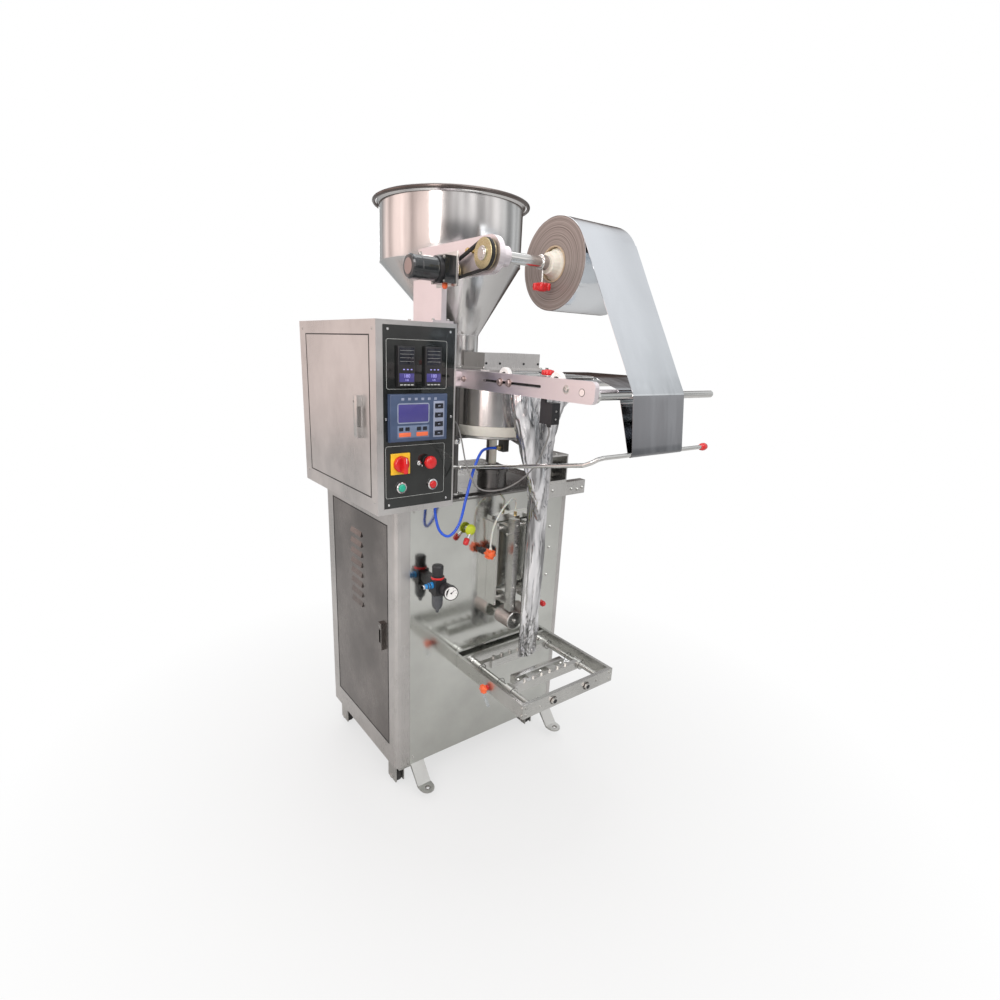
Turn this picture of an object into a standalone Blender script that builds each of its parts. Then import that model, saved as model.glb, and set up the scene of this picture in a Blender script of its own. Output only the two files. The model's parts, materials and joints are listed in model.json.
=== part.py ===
"""Vertical form fill sealer: cabinet on castors, control box, hopper with a rotary
metering disc, film unwind, forming tube, vertical and horizontal sealing jaws.
Metres, +Z up, +X right along the front, +Y into the machine."""
import bpy, bmesh, math
from mathutils import Vector, Matrix

for old in list(bpy.data.objects):
    bpy.data.objects.remove(old, do_unlink=True)

# ------------------------------------------------------------------ clearances
GAP = 0.0003            # between touching fixed pieces
END = 0.0007            # from the end of a hose or cable to its fitting
RUN = 0.0003            # radial clearance of a turning or sliding fit
THROUGH = 0.02          # how far a cutter runs past a face

# ------------------------------------------------------------------ cabinet
CAB_W, CAB_D = 0.650, 0.485
CAB_Z0, CAB_Z1 = 0.085, 0.942
TABLE_T = 0.006
PANEL_T = 0.0037
POST_L, POST_R = 0.047, 0.019          # front posts either side of the front panel
WALL = 0.003
FLOOR_T = 0.008
CORNER_R = 0.018
DOOR_Y0, DOOR_Y1, DOOR_Z0, DOOR_Z1 = 0.047, 0.431, 0.155, 0.880
FRAME_TOP = CAB_Z1 - TABLE_T - GAP
CORNER_X0, CORNER_X1 = CAB_W - 0.090, CAB_W + 0.078      # bracket over the right front corner
CORNER_RIB = CAB_W + 0.050

# ------------------------------------------------------------------ castors
FOOT_W = 0.090
FOOT_X = 0.010
FOOT_PITCH = CAB_W - 2 * FOOT_X - FOOT_W + 0.008
WHEEL_R, WHEEL_W = 0.021, 0.020
WHEEL_DX, WHEEL_Y = 0.019, 0.055
CHEEK_T = 0.004
LUG_Y, LUG_R, LUG_Z, LUG_T = -0.062, 0.023, 0.026, 0.006

# ------------------------------------------------------------------ control box
BOX_X0, BOX_X1 = -0.075, 0.154
BOX_Y0, BOX_Y1 = -0.049, 0.454
BOX_Z0, BOX_Z1 = CAB_Z1 + GAP, 1.421
BOX_FRONT_T, BOX_WALL = 0.006, 0.004
PAN_X0, PAN_X1, PAN_Z0, PAN_Z1 = -0.057, 0.149, 0.958, 1.410
BDOOR_Y0, BDOOR_Y1, BDOOR_Z0, BDOOR_Z1 = -0.013, 0.406, 0.984, 1.386
PANEL_FACE = BOX_Y0
TEMP_X, TEMP_Z, TEMP_W, TEMP_H = (0.003, 0.080), 1.315, 0.048, 0.096
HMI_X, HMI_Z, HMI_W, HMI_H = 0.0385, 1.190, 0.167, 0.118
SWITCH_X, SWITCH_Z = -0.011, 1.074
ESTOP_X = 0.070
START_X, STOP_X, BUTTON_Z = -0.008, 0.086, 1.011
BUTTON_R, RING_R = 0.0100, 0.0145

# ------------------------------------------------------------------ film unwind
AXIS_Y, AXIS_Z = -0.221, 1.563         # spindle axis
ARM_X0, ARM_X1, ARM_R = 0.118, 0.133, 0.040
MOTOR_Y, MOTOR_Z = -0.100, 1.535
PULLEY_X0, PULLEY_X1 = 0.100, 0.114
PULLEY_R, SMALL_R, GROOVE = 0.032, 0.018, 0.0043
BELT_T = 0.005
SHAFT_R, SPINDLE_R = 0.0125, 0.008
FILM_X0, FILM_X1 = 0.311, 0.494
FILM_MID = (FILM_X0 + FILM_X1) / 2
FILM_T = 0.0008
ROLL_R, CORE_R = 0.105, 0.038

# ------------------------------------------------------------------ film beam and bars
BEAM_X0, BEAM_X1, BEAM_Z0, BEAM_Z1 = 0.185, 0.197, 1.261, 1.308
BEAM_Y0, BEAM_Y1 = -0.508, 0.055
BAR_F = (-0.495, 1.277, 0.008)         # front guide bar: y, z, radius
BAR_R = (-0.455, 1.281, 0.007)         # rear guide bar
BAR_F_END, BAR_R_END = 0.617, 0.515
ROLLER_Y, ROLLER_Z, ROLLER_R, COLLAR_R = (-0.194, -0.379), 1.300, 0.011, 0.022
PIN_R = 0.004
DANCER = (-0.513, 1.150, 0.005)

# ------------------------------------------------------------------ feeder and hopper
DISC_X, DISC_Y, DISC_R = 0.385, 0.075, 0.155
TRAY_Z0, TRAY_Z1 = 1.116, 1.124
DISC_Z1 = 1.1515
DECK_Z0, DECK_Z1 = 1.300, 1.308
CUPS, CUP_R, CUP_PITCH = 6, 0.019, 0.115
METER_SHAFT_R = 0.012
POSTS = ((0.216, 0.035), (0.554, 0.035), (0.285, 0.226), (0.485, 0.226))
POST_RAD = 0.009
OUTLET = (0.310, 0.166)
HOP = (0.310, 0.226)
HOP_R, HOP_RIM, HOP_T = 0.208, 0.2285, 0.0015
HOP_CONE_Z, HOP_CYL_Z, HOP_RIM_Z = 1.399, 1.594, 1.760
NECK_R = 0.055

# ------------------------------------------------------------------ forming and sealing
TUBE = (FILM_MID, -0.125)
TUBE_R, TUBE_T = 0.024, 0.0015
TUBE_Z0, TUBE_Z1 = 0.655, 1.072
SLEEVE_R = TUBE_R + 0.0045
SLEEVE_Z0 = 0.436
SLEEVE_T = 0.0013
SLEEVE_SPAN = 3.02
RAIL_Y, RAIL_R, RAIL_Z = -0.030, 0.006, (0.612, 0.840)
SEAL_Z0, SEAL_Z1, SEAL_W, SEAL_D = 0.582, 0.880, 0.020, 0.030
SEAL_Y1 = -0.062
SEAL_OPEN = 0.0325                     # bar face to the film's seam plane
PULL_R, PULL_Z, PULL_Y0, PULL_Y1 = 0.029, 0.545, -0.090, -0.020
PULL_DX = PULL_R + RUN
JAW_X0, JAW_X1, JAW_Y0 = 0.220, 0.585, -0.325
JAW_Z0, JAW_Z1, JAW_T = 0.382, 0.426, 0.010
ROD_X, ROD_R, ROD_Z = (0.262, 0.543), 0.008, 0.404
BAR_X0, BAR_X1 = 0.300, 0.505
JAW_OPEN = 0.046                       # each jaw face to the film's centre plane

root = bpy.data.objects.new("machine_root", None)
bpy.context.scene.collection.objects.link(root)


# ------------------------------------------------------------------ mesh helpers
def box(bm, x0, x1, y0, y1, z0, z1):
    v = [bm.verts.new(p) for p in ((x0, y0, z0), (x1, y0, z0), (x1, y1, z0), (x0, y1, z0),
                                   (x0, y0, z1), (x1, y0, z1), (x1, y1, z1), (x0, y1, z1))]
    for f in ((0, 3, 2, 1), (4, 5, 6, 7), (0, 1, 5, 4), (1, 2, 6, 5), (2, 3, 7, 6), (3, 0, 4, 7)):
        bm.faces.new([v[i] for i in f])


def frame_of(axis):
    a = Vector(axis).normalized()
    ref = Vector((0, 0, 1)) if abs(a.z) < 0.9 else Vector((0, 1, 0))
    u = ref.cross(a).normalized()
    return a, u, a.cross(u)


def lathe(bm, origin, axis, profile, seg, closed=False):
    """Turn (radius, distance along axis) points; closed=True joins last to first."""
    a, u, w = frame_of(axis)
    o = Vector(origin)
    rings = []
    for r, t in profile:
        if r <= 1e-9:
            rings.append([bm.verts.new(o + a * t)])
        else:
            rings.append([bm.verts.new(o + a * t + (u * math.cos(2 * math.pi * k / seg)
                          + w * math.sin(2 * math.pi * k / seg)) * r) for k in range(seg)])
    skin(bm, rings, closed)


def skin(bm, rings, closed):
    n = len(rings)
    for i in range(n if closed else n - 1):
        p, q = rings[i], rings[(i + 1) % n]
        m = max(len(p), len(q))
        for k in range(m):
            k2 = (k + 1) % m
            if len(p) == 1 and len(q) == 1:
                continue
            if len(p) == 1:
                bm.faces.new((p[0], q[k2], q[k]))
            elif len(q) == 1:
                bm.faces.new((p[k], p[k2], q[0]))
            else:
                bm.faces.new((p[k], p[k2], q[k2], q[k]))
    if not closed:
        for ring in (rings[0], rings[-1]):
            if len(ring) > 2:
                bm.faces.new(ring)


def cyl(bm, p0, p1, r, seg=20, r1=None):
    p0, p1 = Vector(p0), Vector(p1)
    d = p1 - p0
    lathe(bm, p0, d, [(r, 0.0), (r if r1 is None else r1, d.length)], seg)


def prism(bm, axis, pts, a0, a1):
    """Extrude 2-D points: axis 'x' takes (y, z), 'y' takes (x, z), 'z' takes (x, y)."""
    def put(p, a):
        return {"x": (a, p[0], p[1]), "y": (p[0], a, p[1]), "z": (p[0], p[1], a)}[axis]
    lo = [bm.verts.new(put(p, a0)) for p in pts]
    hi = [bm.verts.new(put(p, a1)) for p in pts]
    skin(bm, [lo, hi], False)


def sweep(bm, pts, r, seg=12):
    """Round rod along a polyline."""
    P = [Vector(p) for p in pts]
    rings = []
    u = None
    for i, p in enumerate(P):
        d = (P[min(i + 1, len(P) - 1)] - P[max(i - 1, 0)]).normalized()
        if u is None:
            u = frame_of(d)[1]
        u = (u - d * u.dot(d)).normalized()
        w = d.cross(u)
        rings.append([bm.verts.new(p + (u * math.cos(2 * math.pi * k / seg)
                      + w * math.sin(2 * math.pi * k / seg)) * r) for k in range(seg)])
    skin(bm, rings, False)


def rounded_rect(x0, x1, y0, y1, radii, steps=4):
    """Corner radii in the order (x0,y0), (x1,y0), (x1,y1), (x0,y1)."""
    pts = []
    for (cx, cy, sx, sy, a0), r in zip(((x0, y0, 1, 1, 180), (x1, y0, -1, 1, 270),
                                        (x1, y1, -1, -1, 0), (x0, y1, 1, -1, 90)), radii):
        if r <= 0:
            pts.append((cx, cy))
            continue
        for k in range(steps + 1):
            a = math.radians(a0 + 90 * k / steps)
            pts.append((cx + sx * r + r * math.cos(a), cy + sy * r + r * math.sin(a)))
    return pts


def solid(*builders):
    bm = bmesh.new()
    for b in builders:
        b(bm)
    bmesh.ops.recalc_face_normals(bm, faces=bm.faces)
    mesh = bpy.data.meshes.new("solid")
    bm.to_mesh(mesh)
    bm.free()
    return mesh


def combine(mesh, steps):
    """Apply (operation, cutter mesh) steps with the exact solver and keep the result."""
    base = bpy.data.objects.new("base", mesh)
    bpy.context.scene.collection.objects.link(base)
    for op, other in steps:
        tool = bpy.data.objects.new("tool", other)
        bpy.context.scene.collection.objects.link(tool)
        mod = base.modifiers.new("b", "BOOLEAN")
        mod.operation, mod.solver, mod.object = op, "EXACT", tool
        bpy.context.view_layer.update()
        dg = bpy.context.evaluated_depsgraph_get()
        out = bpy.data.meshes.new_from_object(base.evaluated_get(dg))
        base.modifiers.clear()
        base.data = out
        bpy.data.objects.remove(tool, do_unlink=True)
    out = base.data
    bpy.data.objects.remove(base, do_unlink=True)
    bm = bmesh.new()
    bm.from_mesh(out)
    bmesh.ops.remove_doubles(bm, verts=bm.verts, dist=1e-6)
    bmesh.ops.dissolve_degenerate(bm, edges=bm.edges, dist=1e-6)
    bm.to_mesh(out)
    bm.free()
    return out


def add(*builders):
    return ("UNION", solid(*builders))


def cut(*builders):
    return ("DIFFERENCE", solid(*builders))


def B(*a):
    return lambda bm: box(bm, *a)


def C(*a, **k):
    return lambda bm: cyl(bm, *a, **k)


def L(*a, **k):
    return lambda bm: lathe(bm, *a, **k)


def P(*a):
    return lambda bm: prism(bm, *a)


def S(*a, **k):
    return lambda bm: sweep(bm, *a, **k)


def node(name, mesh, rgb, rough=0.4, metal=0.0, alpha=1.0, pivot=None, smooth=False):
    obj = bpy.data.objects.new(name, mesh)
    mesh.name = name
    bpy.context.scene.collection.objects.link(obj)
    if pivot is not None:
        mesh.transform(Matrix.Translation(-Vector(pivot)))
        obj.location = pivot
    obj.parent = root
    mat = bpy.data.materials.new(name + "_mat")
    mat.use_nodes = True
    bsdf = mat.node_tree.nodes["Principled BSDF"]
    bsdf.inputs["Base Color"].default_value = (*rgb, 1.0)
    bsdf.inputs["Roughness"].default_value = rough
    bsdf.inputs["Metallic"].default_value = metal
    bsdf.inputs["Alpha"].default_value = alpha
    mesh.materials.clear()
    mesh.materials.append(mat)
    if smooth:
        for p in mesh.polygons:
            p.use_smooth = True
        mesh.set_sharp_from_angle(angle=math.radians(35))
    return obj


STEEL = (0.62, 0.62, 0.60)
DARK = (0.06, 0.06, 0.065)

# ------------------------------------------------------------------ cabinet
front_x0, front_x1 = POST_L, CAB_W - POST_R
outline = rounded_rect(0, CAB_W, 0, CAB_D, (CORNER_R, 0.004, 0.004, 0.010), 3)
frame = combine(solid(P("z", outline, CAB_Z0, FRAME_TOP)), [
    cut(B(0.040, CAB_W - WALL, 0.045, CAB_D - 0.040, CAB_Z0 + FLOOR_T, CAB_Z1 + THROUGH)),
    cut(B(front_x0, front_x1, -THROUGH, PANEL_T + GAP, CAB_Z0 - THROUGH, CAB_Z1 + THROUGH)),
    cut(B(0.060, 0.615, -THROUGH, 0.060, CAB_Z0 + 0.030, CAB_Z1 - 0.050)),
    cut(B(0.030, 0.620, CAB_D - PANEL_T - GAP, CAB_D + THROUGH, CAB_Z0 + 0.015, CAB_Z1 - 0.025)),
    cut(B(0.045, 0.605, CAB_D - 0.060, CAB_D + THROUGH, CAB_Z0 + 0.030, CAB_Z1 - 0.040)),
    cut(B(-THROUGH, PANEL_T, DOOR_Y0, DOOR_Y1, DOOR_Z0, DOOR_Z1)),
    cut(B(-THROUGH, 0.060, DOOR_Y0 + 0.015, DOOR_Y1 - 0.015, DOOR_Z0 + 0.015, DOOR_Z1 - 0.015)),
])
node("cabinet_frame", frame, STEEL, 0.35, 0.9)

pull_holes = [C((FILM_MID + s * PULL_DX, -THROUGH, PULL_Z), (FILM_MID + s * PULL_DX, THROUGH, PULL_Z),
                METER_SHAFT_R * 0.7 + RUN) for s in (-1, 1)]
node("front_panel", combine(solid(B(front_x0 + GAP, front_x1 - GAP, 0, PANEL_T, CAB_Z0, FRAME_TOP - GAP)),
                            [cut(*pull_holes)]), (0.66, 0.66, 0.63), 0.18, 0.95)
node("back_panel", solid(B(0.030 + GAP, 0.620 - GAP, CAB_D - PANEL_T, CAB_D,
                           CAB_Z0 + 0.015 + GAP, CAB_Z1 - 0.025 - GAP)), STEEL, 0.35, 0.9)
node("table_plate", combine(solid(P("z", outline, CAB_Z1 - TABLE_T, CAB_Z1)), [
    cut(C((DISC_X, DISC_Y, CAB_Z1 - THROUGH), (DISC_X, DISC_Y, CAB_Z1 + THROUGH), METER_SHAFT_R + RUN, 24))]),
    STEEL, 0.32, 0.9)

# side door: swings about its rear edge
door_axis = (-0.0005, DOOR_Y1 - 0.0005, 0.5)
louvres = []
for k in range(8):
    z = 0.560 + 0.0335 * k
    louvres.append(P("y", [(0.001, z), (0.001, z + 0.022), (-0.005, z + 0.003)], 0.215, 0.290))
door = combine(solid(B(0.0, PANEL_T - GAP, DOOR_Y0 + GAP, DOOR_Y1 - 0.0006, DOOR_Z0 + GAP, DOOR_Z1 - GAP)), [
    add(*louvres),
    add(B(-0.010, 0.001, 0.072, 0.092, 0.478, 0.566)),
    cut(B(-0.012, -0.0035, 0.077, 0.087, 0.500, 0.544))])
node("cabinet_door", door, (0.60, 0.57, 0.55), 0.35, 0.9, pivot=door_axis)


# ------------------------------------------------------------------ feet and castors
def foot(name, x, flip):
    """Folded bracket with castor cheeks, sloped cover and an anchoring lug."""
    def yy(y):
        return CAB_D - y if flip else y

    def bx(x0, x1, y0, y1, z0, z1):
        a, b = sorted((yy(y0), yy(y1)))
        return B(x + x0, x + x1, a, b, z0, z1)
    wheel_x = x + WHEEL_DX
    half = WHEEL_W / 2 + 0.0015
    slope = [(0.000, CAB_Z0 - GAP), (-0.046, LUG_Z + LUG_T), (-0.062, LUG_Z + LUG_T), (-0.062, LUG_Z),
             (-0.043, LUG_Z), (0.006, CAB_Z0 - GAP - 0.006), (0.006, CAB_Z0 - GAP)]
    slope = [(yy(p[0]), p[1]) for p in slope]
    m = combine(solid(bx(0.0, FOOT_W, 0.0, 0.090, CAB_Z0 - GAP - 0.006, CAB_Z0 - GAP)), [
        add(bx(WHEEL_DX - half - CHEEK_T, WHEEL_DX - half, 0.030, 0.080, 0.010, CAB_Z0 - 0.003)),
        add(bx(WHEEL_DX + half, WHEEL_DX + half + CHEEK_T, 0.030, 0.080, 0.010, CAB_Z0 - 0.003)),
        add(C((wheel_x - half - CHEEK_T, yy(WHEEL_Y), WHEEL_R), (wheel_x + half + CHEEK_T, yy(WHEEL_Y), WHEEL_R),
              0.004, 12)),
        add(P("x", slope, x + 0.042, x + FOOT_W - 0.001)),
        add(C((x + 0.066, yy(LUG_Y), LUG_Z), (x + 0.066, yy(LUG_Y), LUG_Z + LUG_T), LUG_R, 24)),
        cut(C((x + 0.066, yy(LUG_Y - 0.004), LUG_Z - THROUGH), (x + 0.066, yy(LUG_Y - 0.004), LUG_Z + THROUGH),
              0.007, 16))])
    node("foot_" + name, m, (0.55, 0.55, 0.53), 0.35, 0.85)
    c = (wheel_x, yy(WHEEL_Y), WHEEL_R)
    w = WHEEL_W / 2
    node("castor_wheel_" + name, solid(L(c, (1, 0, 0), [
        (0.004 + RUN, -w), (0.012, -w), (WHEEL_R - 0.002, -w + 0.001), (WHEEL_R, -w + 0.004),
        (WHEEL_R, w - 0.004), (WHEEL_R - 0.002, w - 0.001), (0.012, w), (0.004 + RUN, w)],
        16, closed=True)), DARK, 0.6, pivot=c, smooth=True)


for name, x, flip in (("front_left", FOOT_X, False), ("front_right", FOOT_X + FOOT_PITCH, False),
                      ("rear_left", FOOT_X, True), ("rear_right", FOOT_X + FOOT_PITCH, True)):
    foot(name, x, flip)

# ------------------------------------------------------------------ control box
cb = combine(solid(B(BOX_X0, BOX_X1, BOX_Y0, BOX_Y1, BOX_Z0, BOX_Z1)), [
    cut(B(BOX_X0 + BOX_WALL, BOX_X1 - BOX_WALL, BOX_Y0 + BOX_FRONT_T, BOX_Y1 - BOX_WALL,
          BOX_Z0 + BOX_WALL, BOX_Z1 - BOX_WALL)),
    cut(B(PAN_X0, PAN_X1, BOX_Y0 - THROUGH, BOX_Y0 + 0.0035, PAN_Z0, PAN_Z1)),
    cut(B(PAN_X0 + 0.008, PAN_X1 - 0.008, BOX_Y0 - THROUGH, BOX_Y0 + THROUGH, PAN_Z0 + 0.008, PAN_Z1 - 0.008)),
    cut(B(BOX_X0 - THROUGH, BOX_X0 + 0.0025, BDOOR_Y0, BDOOR_Y1, BDOOR_Z0, BDOOR_Z1)),
    cut(B(BOX_X0 - THROUGH, BOX_X0 + THROUGH, BDOOR_Y0 + 0.012, BDOOR_Y1 - 0.012,
          BDOOR_Z0 + 0.012, BDOOR_Z1 - 0.012)),
])
node("control_box", cb, (0.62, 0.58, 0.56), 0.38, 0.85)

bdoor_axis = (BOX_X0 - 0.0005, BDOOR_Y1 - 0.0005, 1.2)
bdoor = combine(solid(B(BOX_X0, BOX_X0 + 0.0022, BDOOR_Y0 + GAP, BDOOR_Y1 - 0.0006,
                        BDOOR_Z0 + GAP, BDOOR_Z1 - GAP)), [
    add(B(BOX_X0 - 0.014, BOX_X0 + 0.001, 0.032, 0.056, 1.132, 1.240)),
    cut(B(BOX_X0 - 0.016, BOX_X0 - 0.004, 0.028, 0.048, 1.160, 1.212))])
node("control_box_door", bdoor, (0.62, 0.57, 0.55), 0.38, 0.85, pivot=bdoor_axis)

buttons = ((ESTOP_X, SWITCH_Z), (START_X, BUTTON_Z), (STOP_X, BUTTON_Z))
holes = [B(tx - TEMP_W / 2 + 0.0017, tx + TEMP_W / 2 - 0.0017, BOX_Y0 - THROUGH, BOX_Y0 + THROUGH,
           TEMP_Z - TEMP_H / 2 + 0.002, TEMP_Z + TEMP_H / 2 - 0.002) for tx in TEMP_X]
holes.append(B(HMI_X - HMI_W / 2 + 0.008, HMI_X + HMI_W / 2 - 0.008, BOX_Y0 - THROUGH, BOX_Y0 + THROUGH,
               HMI_Z - HMI_H / 2 + 0.008, HMI_Z + HMI_H / 2 - 0.008))
holes += [C((bx_, BOX_Y0 - THROUGH, bz_), (bx_, BOX_Y0 + THROUGH, bz_), BUTTON_R + RUN, 20) for bx_, bz_ in buttons]
holes.append(C((SWITCH_X, BOX_Y0 - THROUGH, SWITCH_Z), (SWITCH_X, BOX_Y0 + THROUGH, SWITCH_Z), 0.004 + RUN, 16))
rings_ = [C((bx_, PANEL_FACE - 0.005, bz_), (bx_, PANEL_FACE + 0.001, bz_), RING_R, 24) for bx_, bz_ in buttons]
node("control_panel", combine(
    solid(B(PAN_X0 + GAP, PAN_X1 - GAP, PANEL_FACE, PANEL_FACE + 0.0032, PAN_Z0 + GAP, PAN_Z1 - GAP)), [
        add(B(SWITCH_X - 0.027, SWITCH_X + 0.027, PANEL_FACE - 0.004, PANEL_FACE + 0.001,
              SWITCH_Z - 0.027, SWITCH_Z + 0.027), *rings_),
        cut(*holes)]), DARK, 0.3)

for side, tx in zip(("left", "right"), TEMP_X):
    node("temperature_controller_" + side, combine(
        solid(B(tx - TEMP_W / 2, tx + TEMP_W / 2, PANEL_FACE - 0.008, PANEL_FACE - GAP,
                TEMP_Z - TEMP_H / 2, TEMP_Z + TEMP_H / 2)), [
            add(B(tx - TEMP_W / 2 + 0.002, tx + TEMP_W / 2 - 0.002, PANEL_FACE - 0.001, 0.025,
                  TEMP_Z - TEMP_H / 2 + 0.0023, TEMP_Z + TEMP_H / 2 - 0.0023))]), (0.10, 0.10, 0.12), 0.35)
node("cycle_controller", combine(
    solid(B(HMI_X - HMI_W / 2, HMI_X + HMI_W / 2, PANEL_FACE - 0.010, PANEL_FACE - GAP,
            HMI_Z - HMI_H / 2, HMI_Z + HMI_H / 2)), [
        add(B(HMI_X - HMI_W / 2 + 0.0083, HMI_X + HMI_W / 2 - 0.0083, PANEL_FACE - 0.001, -0.010,
              HMI_Z - HMI_H / 2 + 0.0083, HMI_Z + HMI_H / 2 - 0.0083))]), (0.16, 0.20, 0.30), 0.4)
sw_face = PANEL_FACE - 0.004
sw_axis = (SWITCH_X, sw_face, SWITCH_Z)
node("main_switch_knob", combine(solid(L(sw_axis, (0, -1, 0), [
    (0, -0.020), (0.004, -0.020), (0.004, GAP), (0.0205, GAP), (0.0205, 0.008), (0.018, 0.011), (0, 0.011)], 28)), [
        add(B(SWITCH_X - 0.005, SWITCH_X + 0.005, sw_face - 0.030, sw_face - 0.010,
              SWITCH_Z - 0.019, SWITCH_Z + 0.019))]), (0.75, 0.05, 0.04), 0.35, pivot=sw_axis)
for name, bx_, bz_, rgb, head in (("emergency_stop_button", ESTOP_X, SWITCH_Z, (0.8, 0.04, 0.03), True),
                                  ("start_button", START_X, BUTTON_Z, (0.03, 0.45, 0.30), False),
                                  ("stop_button", STOP_X, BUTTON_Z, (0.7, 0.05, 0.05), False)):
    prof = [(0, -0.018), (BUTTON_R, -0.018), (BUTTON_R, 0.0075), (0.0085, 0.009), (0, 0.009)]
    if head:
        prof = [(0, -0.018), (BUTTON_R, -0.018), (BUTTON_R, 0.011), (0.0155, 0.012), (0.0165, 0.016),
                (0.0165, 0.021), (0.013, 0.025), (0, 0.026)]
    node(name, solid(L((bx_, PANEL_FACE, bz_), (0, -1, 0), prof, 24)), rgb, 0.35,
         pivot=(bx_, PANEL_FACE, bz_), smooth=True)

# ------------------------------------------------------------------ film unwind
node("unwind_bracket", combine(solid(B(0.090, BOX_X1 - 0.002, -0.036, 0.114, BOX_Z1 + GAP, BOX_Z1 + 0.006)), [
    add(B(ARM_X0, ARM_X1, -0.030, 0.110, BOX_Z1 + 0.002, AXIS_Z - ARM_R + 0.006)),
    add(B(ARM_X0, ARM_X1, AXIS_Y, 0.085, AXIS_Z - ARM_R, AXIS_Z + ARM_R)),
    add(C((ARM_X0, AXIS_Y, AXIS_Z), (ARM_X1, AXIS_Y, AXIS_Z), ARM_R, 40)),
    add(C((ARM_X1 - 0.002, AXIS_Y, AXIS_Z), (ARM_X1 + 0.032, AXIS_Y, AXIS_Z), 0.022, 28)),
    cut(C((ARM_X0 - THROUGH, AXIS_Y, AXIS_Z), (ARM_X1 + 0.032 + THROUGH, AXIS_Y, AXIS_Z), SHAFT_R + RUN, 28))]),
    (0.62, 0.58, 0.57), 0.35, 0.85)
gear_x0, gear_x1 = 0.063, 0.0938
node("unwind_motor", combine(solid(B(gear_x0, gear_x1, MOTOR_Y - 0.030, MOTOR_Y + 0.030,
                                     MOTOR_Z - 0.030, MOTOR_Z + 0.030)), [
    add(L((-0.017, MOTOR_Y, MOTOR_Z), (1, 0, 0), [(0, 0), (0.020, 0), (0.0265, 0.004), (0.0265, 0.070),
                                                 (0.029, 0.072), (0.029, 0.082), (0, 0.082)], 28)),
    add(B(gear_x1 - 0.001, gear_x1 + 0.003, MOTOR_Y - 0.034, MOTOR_Y + 0.055, MOTOR_Z - 0.034, MOTOR_Z + 0.040)),
    add(B(gear_x1, ARM_X0 - GAP, MOTOR_Y + 0.050, MOTOR_Y + 0.055, MOTOR_Z - 0.008, MOTOR_Z + 0.040))]),
    (0.10, 0.11, 0.12), 0.4, 0.4)


def v_pulley(r):
    return [(r, PULLEY_X0), (r, PULLEY_X0 + 0.0022), (r - GROOVE, PULLEY_X0 + 0.0027),
            (r - GROOVE, PULLEY_X1 - 0.0027), (r, PULLEY_X1 - 0.0022), (r, PULLEY_X1)]


m_axis = (0, MOTOR_Y, MOTOR_Z)
node("motor_pulley", solid(L(m_axis, (1, 0, 0), [(0, gear_x1 + 0.003 + RUN), (0.005, gear_x1 + 0.003 + RUN),
                                                 (0.005, PULLEY_X0)] + v_pulley(SMALL_R)
                             + [(0.007, PULLEY_X1), (0.007, PULLEY_X1 + 0.002), (0, PULLEY_X1 + 0.002)], 20)),
     (0.55, 0.50, 0.28), 0.4, 0.8, pivot=(PULLEY_X0, MOTOR_Y, MOTOR_Z), smooth=True)
shaft = solid(L((0, AXIS_Y, AXIS_Z), (1, 0, 0), [(0, 0.096), (0.010, 0.096), (0.010, PULLEY_X0)] + v_pulley(PULLEY_R)
                + [(SHAFT_R, PULLEY_X1), (SHAFT_R, 0.268), (0.017, 0.268), (0.017, 0.290), (SPINDLE_R, 0.290),
                   (SPINDLE_R, 0.565), (0, 0.565)], 24))
node("unwind_spindle", combine(shaft, [
    add(C((0.279, AXIS_Y, AXIS_Z - 0.012), (0.279, AXIS_Y, AXIS_Z - 0.046), 0.0025, 10)),
    add(L((0.279, AXIS_Y, AXIS_Z - 0.044), (0, 0, -1), [(0, 0), (0.005, 0), (0.012, 0.003), (0.012, 0.011),
                                                       (0.008, 0.014), (0, 0.014)], 16))]),
    (0.60, 0.58, 0.45), 0.3, 0.85, pivot=(PULLEY_X0, AXIS_Y, AXIS_Z), smooth=True)
sp_bore = SPINDLE_R + GAP
cone = [(sp_bore, 0.2905), (0.024, 0.2905), (0.029, 0.308), (CORE_R - 0.0008, 0.318), (CORE_R - 0.0008, 0.332),
        (0.014, 0.336), (0.014, 0.468), (CORE_R - 0.0008, 0.472), (CORE_R - 0.0008, 0.487), (0.029, 0.498),
        (0.024, 0.514), (sp_bore, 0.514)]
node("roll_hub_cones", solid(L((0, AXIS_Y, AXIS_Z), (1, 0, 0), cone, 20, closed=True)), (0.86, 0.85, 0.80), 0.45,
     pivot=(FILM_MID, AXIS_Y, AXIS_Z), smooth=True)
node("film_roll", solid(L((0, AXIS_Y, AXIS_Z), (1, 0, 0), [(CORE_R, FILM_X0), (ROLL_R, FILM_X0), (ROLL_R, FILM_X1),
                                                           (CORE_R, FILM_X1)], 40, closed=True)),
     (0.42, 0.40, 0.40), 0.25, 0.6, pivot=(FILM_MID, AXIS_Y, AXIS_Z), smooth=True)


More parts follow.
